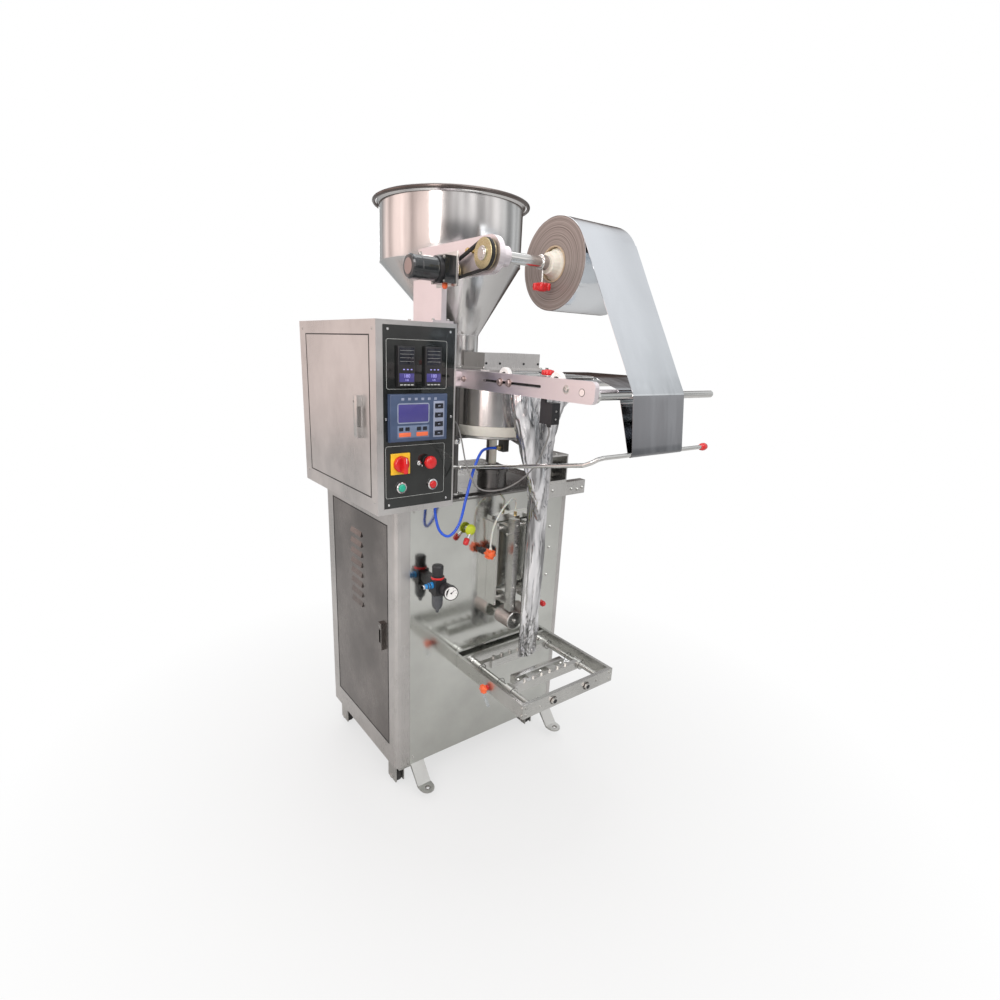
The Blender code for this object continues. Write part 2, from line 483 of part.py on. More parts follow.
# ------------------------------------------------------------------ belts and webs wrapped round circles
def wrap_path(circles, loop, step=16.0):
    """Tangent path round circles (u, v, radius, sense); sense +1 keeps the centre on the left."""
    n = len(circles)
    pairs = [(i, (i + 1) % n) for i in range(n if loop else n - 1)]
    tang = []
    for i, j in pairs:
        u1, v1, r1, s1 = circles[i]
        u2, v2, r2, s2 = circles[j]
        du, dv = u2 - u1, v2 - v1
        length = math.hypot(du, dv)
        a = (s2 * r2 - s1 * r1) / length
        b = math.sqrt(1 - a * a)
        eu, ev = du / length, dv / length
        nu, nv = a * eu - b * ev, a * ev + b * eu
        tang.append(((u1 - s1 * r1 * nu, v1 - s1 * r1 * nv), (u2 - s2 * r2 * nu, v2 - s2 * r2 * nv)))
    pts = []

    def arc(c, p, q):
        u, v, r, s = c
        a0 = math.atan2(p[1] - v, p[0] - u)
        a1 = math.atan2(q[1] - v, q[0] - u)
        d = (a1 - a0) % (2 * math.pi)
        if s < 0:
            d -= 2 * math.pi
        k = max(1, int(abs(math.degrees(d)) / step))
        return [(u + r * math.cos(a0 + d * t / k), v + r * math.sin(a0 + d * t / k)) for t in range(k + 1)]
    if loop:
        for i in range(n):
            pts += arc(circles[i], tang[i - 1][1], tang[i][0])
    else:
        pts.append(tang[0][0])
        for i in range(1, n - 1):
            pts += arc(circles[i], tang[i - 1][1], tang[i][0])
        pts.append(tang[-1][1])
    return pts


def offset_path(pts, d, loop):
    out = []
    n = len(pts)
    for i in range(n):
        a = pts[i - 1] if (loop or i > 0) else pts[i]
        b = pts[(i + 1) % n] if (loop or i < n - 1) else pts[i]
        tu, tv = b[0] - a[0], b[1] - a[1]
        k = math.hypot(tu, tv)
        out.append((pts[i][0] - tv / k * d, pts[i][1] + tu / k * d))
    return out


def ribbon(bm, pts, thick, x0, x1, loop):
    """Flat strip of constant thickness standing across X along a (y, z) path."""
    lo, hi = offset_path(pts, -thick / 2, loop), offset_path(pts, thick / 2, loop)
    rings = []
    for a, b in zip(lo, hi):
        rings.append([bm.verts.new(p) for p in ((x0, *a), (x1, *a), (x1, *b), (x0, *b))])
    skin(bm, rings, loop)


belt_r = BELT_T / 2 + 0.0003
belt = wrap_path([(AXIS_Y, AXIS_Z, PULLEY_R - GROOVE + GAP + belt_r, 1),
                  (MOTOR_Y, MOTOR_Z, SMALL_R - GROOVE + GAP + belt_r, 1)], True, 18)
node("drive_belt", solid(lambda bm: ribbon(bm, belt, BELT_T, PULLEY_X0 + 0.0031, PULLEY_X1 - 0.0031, True)),
     (0.03, 0.03, 0.03), 0.7, smooth=True)

# ------------------------------------------------------------------ film beam, bars and rollers
beam_pts = rounded_rect(BEAM_Y0, BEAM_Y1, BEAM_Z0, BEAM_Z1, (0.012, 0, 0, 0.012), 4)
slot_z = (BEAM_Z0 + BEAM_Z1) / 2 + 0.002
node("film_beam", combine(solid(P("x", beam_pts, BEAM_X0, BEAM_X1)), [
    cut(P("x", rounded_rect(-0.345, -0.125, slot_z - 0.0035, slot_z + 0.0035, (0.0034,) * 4, 3),
          BEAM_X0 - THROUGH, BEAM_X1 + THROUGH)),
    add(B(BOX_X1 + GAP, BEAM_X0 + 0.001, -0.030, 0.045, BEAM_Z0 + 0.005, BEAM_Z1 - 0.005)),
    add(C((BEAM_X1 - 0.006, BAR_R[0], BAR_R[1]), (BAR_R_END, BAR_R[0], BAR_R[1]), BAR_R[2], 16)),
    add(*[C((BEAM_X1 - 0.006, y, ROLLER_Z), (BAR_R_END, y, ROLLER_Z), PIN_R, 12) for y in ROLLER_Y])]),
    (0.62, 0.58, 0.57), 0.32, 0.85)
node("guide_bar_front", solid(L((0, BAR_F[0], BAR_F[1]), (1, 0, 0), [
    (0, BEAM_X1 + GAP), (0.014, BEAM_X1 + GAP), (0.014, BEAM_X1 + 0.006), (BAR_F[2], BEAM_X1 + 0.008),
    (BAR_F[2], BAR_F_END - 0.001), (BAR_F[2] - 0.001, BAR_F_END), (0, BAR_F_END)], 16)),
    (0.70, 0.70, 0.66), 0.2, 0.95, smooth=True)
for name, y in zip(("infeed_roller", "top_roller"), ROLLER_Y):
    bore = PIN_R + RUN
    x0 = BEAM_X1 + 2 * GAP
    node(name, solid(L((0, y, ROLLER_Z), (1, 0, 0), [(bore, x0), (COLLAR_R - 0.002, x0), (COLLAR_R, x0 + 0.003),
                                                     (COLLAR_R, x0 + 0.009), (COLLAR_R - 0.002, x0 + 0.012),
                                                     (ROLLER_R, x0 + 0.012), (ROLLER_R, BAR_R_END - 0.006),
                                                     (bore, BAR_R_END - 0.006)], 18, closed=True)),
         (0.85, 0.85, 0.80), 0.4, pivot=(x0, y, ROLLER_Z), smooth=True)

skin_off = GAP + FILM_T / 2
film_pts = wrap_path([(AXIS_Y, AXIS_Z, ROLL_R + skin_off, 1), (BAR_F[0], BAR_F[1], BAR_F[2] + skin_off, 1),
                      (DANCER[0], DANCER[1], DANCER[2] + skin_off, 1), (BAR_R[0], BAR_R[1], BAR_R[2] + skin_off, -1),
                      (ROLLER_Y[1], ROLLER_Z, ROLLER_R + skin_off, -1),
                      (ROLLER_Y[0], ROLLER_Z, ROLLER_R + skin_off, -1),
                      (ROLLER_Y[0] + ROLLER_R + skin_off, ROLLER_Z - 0.012, 0.00005, -1)], False)
node("film_web", solid(lambda bm: ribbon(bm, film_pts, FILM_T, FILM_X0, FILM_X1, False)),
     (0.66, 0.68, 0.70), 0.2, 0.85, smooth=True)
web_end_y, web_end_z = film_pts[-1]

# dancer arm: hub on its pin, long rod, cross rod under the film loop and a knob
DANCER_X = 0.196
dan_pivot = (DANCER_X, POSTS[0][1], 1.030)
arm_path = [(DANCER_X, 0.027, 1.0316), (DANCER_X, -0.486, 1.1320), (DANCER_X + 0.004, -0.503, 1.1400),
            (DANCER_X + 0.014, -0.511, 1.1475), (DANCER_X + 0.030, DANCER[0], DANCER[1]),
            (0.585, DANCER[0], DANCER[1])]
node("dancer_arm", combine(solid(S(arm_path, DANCER[2], seg=14)), [
    add(C((DANCER_X - 0.007, dan_pivot[1], dan_pivot[2]), (DANCER_X + 0.007, dan_pivot[1], dan_pivot[2]), 0.011, 20)),
    cut(C((DANCER_X - THROUGH, dan_pivot[1], dan_pivot[2]), (DANCER_X + THROUGH, dan_pivot[1], dan_pivot[2]),
          PIN_R + RUN, 14)),
    add(L((0.578, DANCER[0], DANCER[1]), (1, 0, 0), [(0, 0), (0.005, 0.001), (0.0095, 0.009), (0.0095, 0.015),
                                                    (0.005, 0.023), (0, 0.024)], 18))]),
    (0.62, 0.62, 0.60), 0.3, 0.85, pivot=dan_pivot, smooth=True)

# ------------------------------------------------------------------ metering feeder
stand_top = DECK_Z0 - GAP
disc_c = Vector((DISC_X, DISC_Y, 0))
to_tube = (Vector((TUBE[0], TUBE[1], 0)) - disc_c).normalized()
drop = disc_c + to_tube * CUP_PITCH
rail_front = (POSTS[0][0] - 0.011, POSTS[1][0] + 0.011, POSTS[0][1] - 0.011, POSTS[0][1] + 0.011)
rail_rear = (POSTS[2][0] - 0.011, POSTS[3][0] + 0.011, POSTS[2][1] - 0.011, POSTS[2][1] + 0.011)
stand_steps = [add(C((px_, py_, CAB_Z1 + 0.003), (px_, py_, stand_top), POST_RAD, 12)) for px_, py_ in POSTS]
stand_steps += [
    add(C((DISC_X, DISC_Y, TRAY_Z0), (DISC_X, DISC_Y, TRAY_Z1), DISC_R - 0.004, 36)),
    add(B(*rail_front, TRAY_Z0 - 0.002, TRAY_Z1 - 0.001)), add(B(*rail_rear, TRAY_Z0 - 0.002, TRAY_Z1 - 0.001)),
    add(C((DISC_X, DISC_Y, CAB_Z1 + 0.002), (DISC_X, DISC_Y, CAB_Z1 + 0.070), 0.030, 24)),
    add(B(0.330, 0.350, -0.044, -0.020, 1.078, TRAY_Z0 + 0.002)),
    add(C((0.336, -0.032, 1.090), (0.312, -0.032, 1.090), 0.0055, 12)),
    add(C((POSTS[0][0], dan_pivot[1], dan_pivot[2]), (DANCER_X - 0.009, dan_pivot[1], dan_pivot[2]), PIN_R, 14)),
    cut(C((DISC_X, DISC_Y, CAB_Z1 - THROUGH), (DISC_X, DISC_Y, TRAY_Z1 + THROUGH), METER_SHAFT_R + RUN, 24),
        C((drop.x, drop.y, TRAY_Z0 - THROUGH), (drop.x, drop.y, TRAY_Z1 + THROUGH), 0.028, 24))]
node("feeder_stand", combine(solid(B(POSTS[0][0] - 0.012, POSTS[1][0] + 0.012, POSTS[0][1] - 0.012,
                                     POSTS[2][1] + 0.012, CAB_Z1 + GAP, CAB_Z1 + 0.006)), stand_steps),
     (0.45, 0.44, 0.42), 0.4, 0.8)
SHAFT_END = 0.2503
disc_steps = [add(C((DISC_X, DISC_Y, SHAFT_END), (DISC_X, DISC_Y, TRAY_Z1 + 0.010), METER_SHAFT_R, 24)),
              add(C((DISC_X, DISC_Y, DISC_Z1 - 0.002), (DISC_X, DISC_Y, DISC_Z1 + 0.022), 0.024, 24))]
disc_steps.append(cut(*[C((DISC_X + CUP_PITCH * math.cos(math.radians(a)), DISC_Y + CUP_PITCH * math.sin(math.radians(a)),
                           TRAY_Z1 - THROUGH),
                          (DISC_X + CUP_PITCH * math.cos(math.radians(a)), DISC_Y + CUP_PITCH * math.sin(math.radians(a)),
                           DISC_Z1 + THROUGH), CUP_R, 12)
                        for a in [math.degrees(math.atan2(to_tube.y, to_tube.x)) + 360 / CUPS * k for k in range(CUPS)]]))
node("metering_disc", combine(solid(C((DISC_X, DISC_Y, TRAY_Z1 + RUN), (DISC_X, DISC_Y, DISC_Z1), DISC_R, 40)),
                              disc_steps), (0.82, 0.80, 0.70), 0.45, pivot=(DISC_X, DISC_Y, TRAY_Z1))
node("feeder_drum", combine(
    solid(L((DISC_X, DISC_Y, 0), (0, 0, 1), [(0.1490, DISC_Z1 + RUN), (0.1510, DISC_Z1 + RUN), (0.1510, DECK_Z0 + 0.002),
                                             (0.1490, DECK_Z0 + 0.002)], 40, closed=True)), [
        add(C((DISC_X, DISC_Y, DECK_Z0), (DISC_X, DISC_Y, DECK_Z1), 0.160, 40)),
        add(B(*rail_front, DECK_Z0, DECK_Z1 - 0.001)), add(B(*rail_rear, DECK_Z0, DECK_Z1 - 0.001)),
        cut(C((OUTLET[0], OUTLET[1], DECK_Z0 - THROUGH), (OUTLET[0], OUTLET[1], DECK_Z1 + THROUGH), 0.045, 28))]),
    (0.66, 0.64, 0.60), 0.28, 0.9, smooth=True)
node("feeder_cover", combine(solid(B(0.258, 0.474, -0.030, 0.085, DECK_Z1 + GAP, DECK_Z1 + 0.005)), [
    add(B(0.266, 0.468, -0.022, 0.077, DECK_Z1 + 0.003, DECK_Z1 + 0.045)),
    cut(B(0.268, 0.466, -0.020, 0.075, DECK_Z1 - THROUGH, DECK_Z1 + 0.043))]), (0.45, 0.47, 0.47), 0.4, 0.7)


def ring_loft(bm, rings, seg, closed):
    """Rings of (x, y, radius, z), all level, joined into one skin."""
    rr = [[bm.verts.new((x + r * math.cos(2 * math.pi * k / seg), y + r * math.sin(2 * math.pi * k / seg), z))
           for k in range(seg)] for x, y, r, z in rings]
    skin(bm, rr, closed)


bead = HOP_RIM - 0.006
hopper_rings = [(*OUTLET, 0.066, DECK_Z1 + GAP), (*OUTLET, 0.066, DECK_Z1 + 0.004), (*OUTLET, 0.050, DECK_Z1 + 0.0045),
                (*OUTLET, NECK_R, DECK_Z1 + 0.035), (*OUTLET, NECK_R, HOP_CONE_Z), (*HOP, HOP_R, HOP_CYL_Z),
                (*HOP, bead - 0.010, HOP_RIM_Z - 0.014), (*HOP, bead, HOP_RIM_Z - 0.014),
                (*HOP, HOP_RIM, HOP_RIM_Z - 0.009), (*HOP, HOP_RIM, HOP_RIM_Z - 0.004), (*HOP, bead, HOP_RIM_Z),
                (*HOP, bead - 0.012, HOP_RIM_Z - 0.001), (*HOP, HOP_R - HOP_T, HOP_CYL_Z),
                (*OUTLET, NECK_R - HOP_T, HOP_CONE_Z), (*OUTLET, 0.046, DECK_Z1 + 0.020), (*OUTLET, 0.046, DECK_Z1 + GAP)]
node("hopper", solid(lambda bm: ring_loft(bm, hopper_rings, 32, True)), (0.66, 0.62, 0.60), 0.22, 0.9, smooth=True)

# ------------------------------------------------------------------ forming tube with its inlet chute
chute_t = TUBE_T
chute_out = [(drop.x, drop.y, 0.036, TRAY_Z0 - GAP), (drop.x, drop.y, 0.036, TRAY_Z0 - 0.004),
             (FILM_MID - 0.002, -0.096, 0.0250, 1.090), (*TUBE, TUBE_R, TUBE_Z1), (*TUBE, TUBE_R, TUBE_Z0)]
chute_in = [(x, y, r - chute_t, z) for x, y, r, z in reversed(chute_out)]
node("forming_tube", solid(lambda bm: ring_loft(bm, chute_out + chute_in, 20, True)), (0.60, 0.62, 0.64), 0.25, 0.9,
     smooth=True)


# film folded from the flat web into a sleeve round the tube
def sleeve(bm):
    """Web curling round the tube, then a sleeve closed down the back and drawn flat toward its lower end."""
    # height, front line y, half width a, half depth b, half span in radians
    full = FILM_X1 - FILM_X0
    rows = []
    for z, yf, rho in ((web_end_z - 0.0006, web_end_y, 4.0), (1.268, -0.1790, 0.30), (1.245, -0.1730, 0.140),
                       (1.215, -0.1660, 0.090), (1.180, -0.1600, 0.066), (1.140, -0.1565, 0.0540),
                       (1.100, -0.1545, 0.0440), (1.060, -0.1537, 0.0360), (1.015, -0.1535, 0.0300)):
        rows.append((z, yf, rho, rho, min(full / rho / 2, SLEEVE_SPAN)))
    for z, a, b in ((0.960, SLEEVE_R, SLEEVE_R), (0.760, SLEEVE_R, SLEEVE_R), (0.640, 0.030, 0.0275),
                    (0.590, 0.0325, 0.0215), (0.520, 0.0350, 0.0150), (0.470, 0.0360, 0.0110),
                    (SLEEVE_Z0, 0.0365, 0.0090)):
        rows.append((z, TUBE[1] - b, a, b, SLEEVE_SPAN))
    cols = 16
    rings = []
    for z, yf, a, b, span in rows:
        turns = [-span + 2 * span * k / cols for k in range(cols + 1)]
        line = [(TUBE[0] + a * math.sin(t), yf + b - b * math.cos(t)) for t in turns]
        inner = offset_path(line, SLEEVE_T, False)
        rings.append([bm.verts.new((*p, z)) for p in line + inner[::-1]])
    skin(bm, rings, False)


node("film_sleeve", solid(sleeve), (0.70, 0.71, 0.72), 0.2, 0.85, smooth=True)

# ------------------------------------------------------------------ vertical sealing bars on two rails
brk_l, brk_r = 0.330, 0.475
rails = combine(solid(B(brk_l - 0.008, brk_l, -0.044, -GAP, RAIL_Z[0] - 0.020, RAIL_Z[1] + 0.020)), [
    add(B(brk_r, brk_r + 0.008, -0.044, -GAP, RAIL_Z[0] - 0.020, RAIL_Z[1] + 0.020)),
    *[add(C((brk_l - 0.004, RAIL_Y, z), (brk_r + 0.004, RAIL_Y, z), RAIL_R, 16)) for z in RAIL_Z],
    add(B(brk_l - 0.004, brk_r + 0.004, -0.012, -GAP, RAIL_Z[1] + 0.016, RAIL_Z[1] + 0.036)),
    add(B(FILM_MID - 0.010, FILM_MID + 0.010, -0.040, -0.010, RAIL_Z[1] + 0.018, RAIL_Z[1] + 0.034)),
    add(C((FILM_MID, -0.030, RAIL_Z[1] + 0.030), (FILM_MID, -0.030, RAIL_Z[1] + 0.046), 0.0045, 12)),
    add(C((brk_r + 0.006, -0.034, RAIL_Z[0] - 0.004), (brk_r + 0.022, -0.034, RAIL_Z[0] - 0.004), 0.004, 12)),
    add(C((brk_r + 0.018, -0.034, RAIL_Z[0] - 0.004), (brk_r + 0.036, -0.034, RAIL_Z[0] - 0.004), 0.010, 16))])
node("seal_rails", rails, (0.58, 0.57, 0.55), 0.3, 0.85)
for side, s in (("left", -1), ("right", 1)):
    near, far = FILM_MID + s * SEAL_OPEN, FILM_MID + s * (SEAL_OPEN + SEAL_W)
    x0, x1 = min(near, far), max(near, far)
    y0 = SEAL_Y1 - SEAL_D
    parts_ = [add(B(x0, x1, SEAL_Y1 - 0.001, RAIL_Y + 0.012, z - 0.013, z + 0.013)) for z in RAIL_Z]
    parts_.append(cut(*[C((x0 - THROUGH, RAIL_Y, z), (x1 + THROUGH, RAIL_Y, z), RAIL_R + RUN, 16) for z in RAIL_Z]))
    outer_x = far
    parts_.append(add(C((outer_x - s * 0.002, SEAL_Y1 - 0.015, 0.835), (outer_x + s * 0.016, SEAL_Y1 - 0.015, 0.835),
                        0.003, 10)))
    node("seal_bar_" + side, combine(solid(B(x0, x1, y0, SEAL_Y1, SEAL_Z0, SEAL_Z1)), parts_),
         (0.62, 0.60, 0.56), 0.3, 0.85, pivot=(x0, SEAL_Y1, RAIL_Z[0]))
    px_ = FILM_MID + s * PULL_DX
    pr = METER_SHAFT_R * 0.7
    node("pull_roller_" + side, solid(L((px_, 0, PULL_Z), (0, 1, 0), [
        (0, PULL_Y0 - 0.004), (0.006, PULL_Y0 - 0.004), (0.006, PULL_Y0), (PULL_R - 0.002, PULL_Y0),
        (PULL_R, PULL_Y0 + 0.002), (PULL_R, PULL_Y1 - 0.002), (PULL_R - 0.002, PULL_Y1), (pr, PULL_Y1),
        (pr, 0.030), (0, 0.030)], 24)), (0.55, 0.50, 0.44), 0.35, 0.8, pivot=(px_, 0, PULL_Z), smooth=True)

# ------------------------------------------------------------------ horizontal jaws
frame_steps = [
    add(B(JAW_X1 - JAW_T, JAW_X1, JAW_Y0 + 0.002, -GAP, JAW_Z0, JAW_Z1)),
    add(B(JAW_X0, JAW_X1, JAW_Y0, JAW_Y0 + 0.012, JAW_Z0, JAW_Z1)),
    add(B(JAW_X0 + 0.002, JAW_X1 - 0.002, -0.024, -0.014, JAW_Z0 + 0.002, JAW_Z1 - 0.002)),
    *[add(C((x, JAW_Y0 + 0.006, ROD_Z), (x, -0.018, ROD_Z), ROD_R, 14)) for x in ROD_X],
    *[add(C((x, JAW_Y0 - 0.008, ROD_Z), (x, JAW_Y0 + 0.003, ROD_Z), 0.011, 6)) for x in (0.335, 0.470)],
    *[add(C((x, -0.050, ROD_Z), (x, -0.020, ROD_Z), 0.013, 14)) for x in ROD_X]]
node("jaw_frame", combine(solid(B(JAW_X0, JAW_X0 + JAW_T, JAW_Y0 + 0.002, -GAP, JAW_Z0, JAW_Z1)), frame_steps),
     (0.55, 0.56, 0.55), 0.3, 0.85)


def jaw(name, y_face, back, bush0, bush1, rgb):
    """Bar whose face is at y_face, carried by a cross plate with a bush on each rod."""
    y0, y1 = sorted((y_face, back))
    p0, p1 = sorted((bush0, bush1))
    mid = (p0 + p1) / 2
    c0, c1 = mid - 0.008, mid + 0.008
    steps = [add(B(ROD_X[0], ROD_X[1], c0, c1, JAW_Z0 + 0.008, JAW_Z1 - 0.010)),
             add(B(0.345, 0.375, min(y1 - 0.001, c0), max(y0 + 0.001, c1), JAW_Z0 + 0.012, JAW_Z1 - 0.014),
                 B(0.430, 0.460, min(y1 - 0.001, c0), max(y0 + 0.001, c1), JAW_Z0 + 0.012, JAW_Z1 - 0.014)),
             *[add(C((x, p0, ROD_Z), (x, p1, ROD_Z), 0.0145, 14)) for x in ROD_X],
             add(*[C((0.318 + 0.0338 * k, mid, JAW_Z1 - 0.012), (0.318 + 0.0338 * k, mid, JAW_Z1 - 0.002), 0.0058, 6)
                   for k in range(6)]),
             cut(*[C((x, p0 - THROUGH, ROD_Z), (x, p1 + THROUGH, ROD_Z), ROD_R + RUN, 14) for x in ROD_X])]
    node(name, combine(solid(B(BAR_X0, BAR_X1, y0, y1, ROD_Z - 0.012, ROD_Z + 0.014)), steps), rgb, 0.35, 0.8,
         pivot=(FILM_MID, y_face, ROD_Z))


front_face, rear_face = TUBE[1] - JAW_OPEN, TUBE[1] + JAW_OPEN
jaw("front_jaw", front_face, front_face - 0.022, front_face - 0.064, front_face - 0.032, (0.60, 0.55, 0.42))
jaw("rear_jaw", rear_face, rear_face + 0.013, rear_face + 0.003, rear_face + 0.027, (0.70, 0.66, 0.52))

# ------------------------------------------------------------------ air fittings on the front panel
reg_x, reg_y = 0.110, -0.048
node("air_regulator", combine(solid(B(reg_x - 0.018, reg_x + 0.018, reg_y - 0.019, reg_y + 0.019, 0.688, 0.733)), [
    add(B(reg_x - 0.012, reg_x + 0.012, reg_y + 0.015, -GAP, 0.698, 0.728)),
    add(L((reg_x, reg_y, 0), (0, 0, 1), [(0, 0.731), (0.019, 0.731), (0.019, 0.739), (0.0155, 0.740), (0.0165, 0.768),
                                         (0.013, 0.772), (0, 0.772)], 20)),
    add(L((reg_x, reg_y, 0), (0, 0, 1), [(0, 0.626), (0.004, 0.626), (0.005, 0.634), (0.012, 0.640), (0.015, 0.650),
                                         (0.016, 0.690), (0, 0.690)], 20)),
    add(C((reg_x + 0.012, reg_y - 0.017, 0.703), (reg_x + 0.018, reg_y - 0.046, 0.700), 0.0195, 24)),
    add(L((reg_x, reg_y, 0.714), (-1, 0, 0), [(0, 0.010), (0.009, 0.010), (0.009, 0.034), (0.0065, 0.036),
                                              (0.0065, 0.052), (0, 0.052)], 14))]), (0.05, 0.05, 0.06), 0.35)
nz = (0.302, 0, 0.766)
node("nozzle_knob", combine(solid(L(nz, (0, -1, 0), [(0, GAP), (0.010, GAP), (0.010, 0.008), (0.006, 0.010), (0.006, 0.028),
                                                     (0.013, 0.030), (0.0165, 0.036), (0.0165, 0.046), (0.013, 0.054),
                                                     (0, 0.056)], 20)), [
    add(C((nz[0], -0.042, nz[2] + 0.010), (nz[0], -0.042, nz[2] + 0.022), 0.004, 12))]), (0.85, 0.16, 0.04), 0.4)
node("throttle_valve", combine(solid(L((0.244, 0, 0.846), (0, -1, 0), [(0, GAP), (0.009, GAP), (0.009, 0.012),
                                                                      (0.017, 0.013), (0.015, 0.020), (0.007, 0.025),
                                                                      (0, 0.026)], 20)), [
    add(C((0.244, -0.016, 0.846), (0.221, -0.026, 0.816), 0.0045, 12)),
    add(C((0.227, -0.0235, 0.824), (0.214, -0.029, 0.806), 0.0085, 16))]), (0.80, 0.75, 0.08), 0.4)

# ------------------------------------------------------------------ photo eye, corner bracket, internal drive
node("photo_eye", combine(solid(B(BEAM_X1 + GAP, 0.222, -0.374, -0.334, 1.204, 1.252)), [
    add(B(BEAM_X1 + GAP, BEAM_X1 + 0.005, -0.350, -0.335, 1.250, 1.284)),
    add(C((0.210, -0.354, 1.206), (0.210, -0.354, 1.196), 0.005, 12))]), (0.08, 0.07, 0.07), 0.5)
node("corner_bracket", combine(solid(B(CORNER_X0, CORNER_X1, -0.006, -GAP, CAB_Z1 - 0.040, CAB_Z1 + 0.006)), [
    add(B(CORNER_X0, CORNER_X1, -0.006, 0.020, CAB_Z1 + GAP, CAB_Z1 + 0.006)),
    add(B(CORNER_RIB, CORNER_RIB + 0.006, -0.005, 0.020, CAB_Z1 - 0.037, CAB_Z1 + 0.004)),
    add(B(CORNER_X0 + 0.008, CORNER_X0 + 0.088, 0.004, 0.088, CAB_Z1 + 0.001, CAB_Z1 + 0.098)),
    cut(B(CORNER_X0 + 0.013, CORNER_X0 + 0.083, -THROUGH, 0.083, CAB_Z1 + 0.013, CAB_Z1 + 0.093))]),
    (0.50, 0.50, 0.47), 0.35, 0.8)
floor_top = CAB_Z0 + FLOOR_T
node("main_gearmotor", combine(solid(B(DISC_X - 0.060, DISC_X + 0.060, 0.050, 0.170, floor_top + GAP, SHAFT_END - GAP)), [
    add(L((DISC_X, 0.165, 0.170), (0, 1, 0), [(0, 0), (0.055, 0), (0.055, 0.150), (0.058, 0.152), (0.058, 0.185),
                                             (0.040, 0.195), (0, 0.195)], 28)),
    add(B(DISC_X - 0.050, DISC_X + 0.050, 0.200, 0.330, floor_top + GAP, 0.125))]), (0.12, 0.16, 0.22), 0.5)


# ------------------------------------------------------------------ hoses and cable
def cord(name, pts, r, rgb, samples=48, res=2):
    """Round cord through guide points: a smooth curve read at even steps."""
    G = [Vector(p) for p in pts]
    G = [G[0] * 2 - G[1]] + G + [G[-1] * 2 - G[-2]]
    dense = []
    for i in range(1, len(G) - 2):
        p0, p1, p2, p3 = G[i - 1], G[i], G[i + 1], G[i + 2]
        for k in range(24):
            t = k / 24
            dense.append(0.5 * ((2 * p1) + (p2 - p0) * t + (2 * p0 - 5 * p1 + 4 * p2 - p3) * t * t
                                + (3 * p1 - p0 - 3 * p2 + p3) * t ** 3))
    dense.append(G[-2])
    run = [0.0]
    for a, b in zip(dense, dense[1:]):
        run.append(run[-1] + (b - a).length)
    curve = bpy.data.curves.new(name, "CURVE")
    curve.dimensions = "3D"
    curve.bevel_depth = r
    curve.bevel_resolution = res
    curve.use_fill_caps = True
    spl = curve.splines.new("POLY")
    spl.points.add(samples - 1)
    j = 0
    for k in range(samples):
        want = run[-1] * k / (samples - 1)
        while j < len(run) - 2 and run[j + 1] < want:
            j += 1
        f = (want - run[j]) / max(run[j + 1] - run[j], 1e-9)
        p = dense[j].lerp(dense[j + 1], min(max(f, 0), 1))
        spl.points[k].co = (p.x, p.y, p.z, 1.0)
    obj = bpy.data.objects.new(name, curve)
    bpy.context.scene.collection.objects.link(obj)
    obj.parent = root
    mat = bpy.data.materials.new(name + "_mat")
    mat.use_nodes = True
    mat.node_tree.nodes["Principled BSDF"].inputs["Base Color"].default_value = (*rgb, 1.0)
    mat.node_tree.nodes["Principled BSDF"].inputs["Roughness"].default_value = 0.4
    curve.materials.append(mat)
    spl.use_smooth = True
    return obj


cord("air_hose_blue", [(0.312 - END, -0.032, 1.090), (0.290, -0.032, 1.090), (0.250, -0.046, 1.085),
                       (0.215, -0.060, 1.040), (0.190, -0.064, 0.965), (0.170, -0.062, 0.890),
                       (0.140, -0.056, 0.856), (0.118, -0.040, 0.872), (0.112, -0.026, 0.918),
                       (0.112, -0.026, BOX_Z0 - END)], 0.004, (0.05, 0.16, 0.65), 36)
cord("air_hose_white", [(nz[0], -0.042, nz[2] + 0.022 + END), (nz[0], -0.042, 0.806), (0.304, -0.048, 0.850),
                        (0.318, -0.054, 0.890), (0.348, -0.052, 0.922), (0.382, -0.042, 0.932),
                        (FILM_MID, -0.030, 0.912), (FILM_MID, -0.030, RAIL_Z[1] + 0.046 + END)],
     0.0028, (0.80, 0.78, 0.70), 30)
cord("sensor_cable", [(0.210, -0.354, 1.196 - END), (0.210, -0.354, 1.172), (0.222, -0.310, 1.105),
                      (0.232, -0.240, 1.045), (0.214, -0.180, 1.008), (0.182, -0.130, 1.006),
                      (0.174, -0.085, 1.055), (0.177, -0.048, 1.130), (0.172, -0.031, 1.167),
                      (BOX_X1 + END, -0.030, 1.172)], 0.0020, (0.55, 0.54, 0.52), 34)

# ------------------------------------------------------------------ stand the machine over the origin
bpy.context.view_layer.update()
dg = bpy.context.evaluated_depsgraph_get()
low, high = Vector((9, 9, 9)), Vector((-9, -9, -9))
for obj in bpy.data.objects:
    if obj.type not in {"MESH", "CURVE"}:
        continue
    ev = obj.evaluated_get(dg)
    m = ev.to_mesh()
    for v in m.vertices:
        w = obj.matrix_world @ v.co
        for i in range(3):
            low[i], high[i] = min(low[i], w[i]), max(high[i], w[i])
    ev.to_mesh_clear()
root.location = (-(low.x + high.x) / 2, -(low.y + high.y) / 2, -low.z)
bpy.context.view_layer.update()
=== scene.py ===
import bpy, json, math
from mathutils import Matrix, Vector

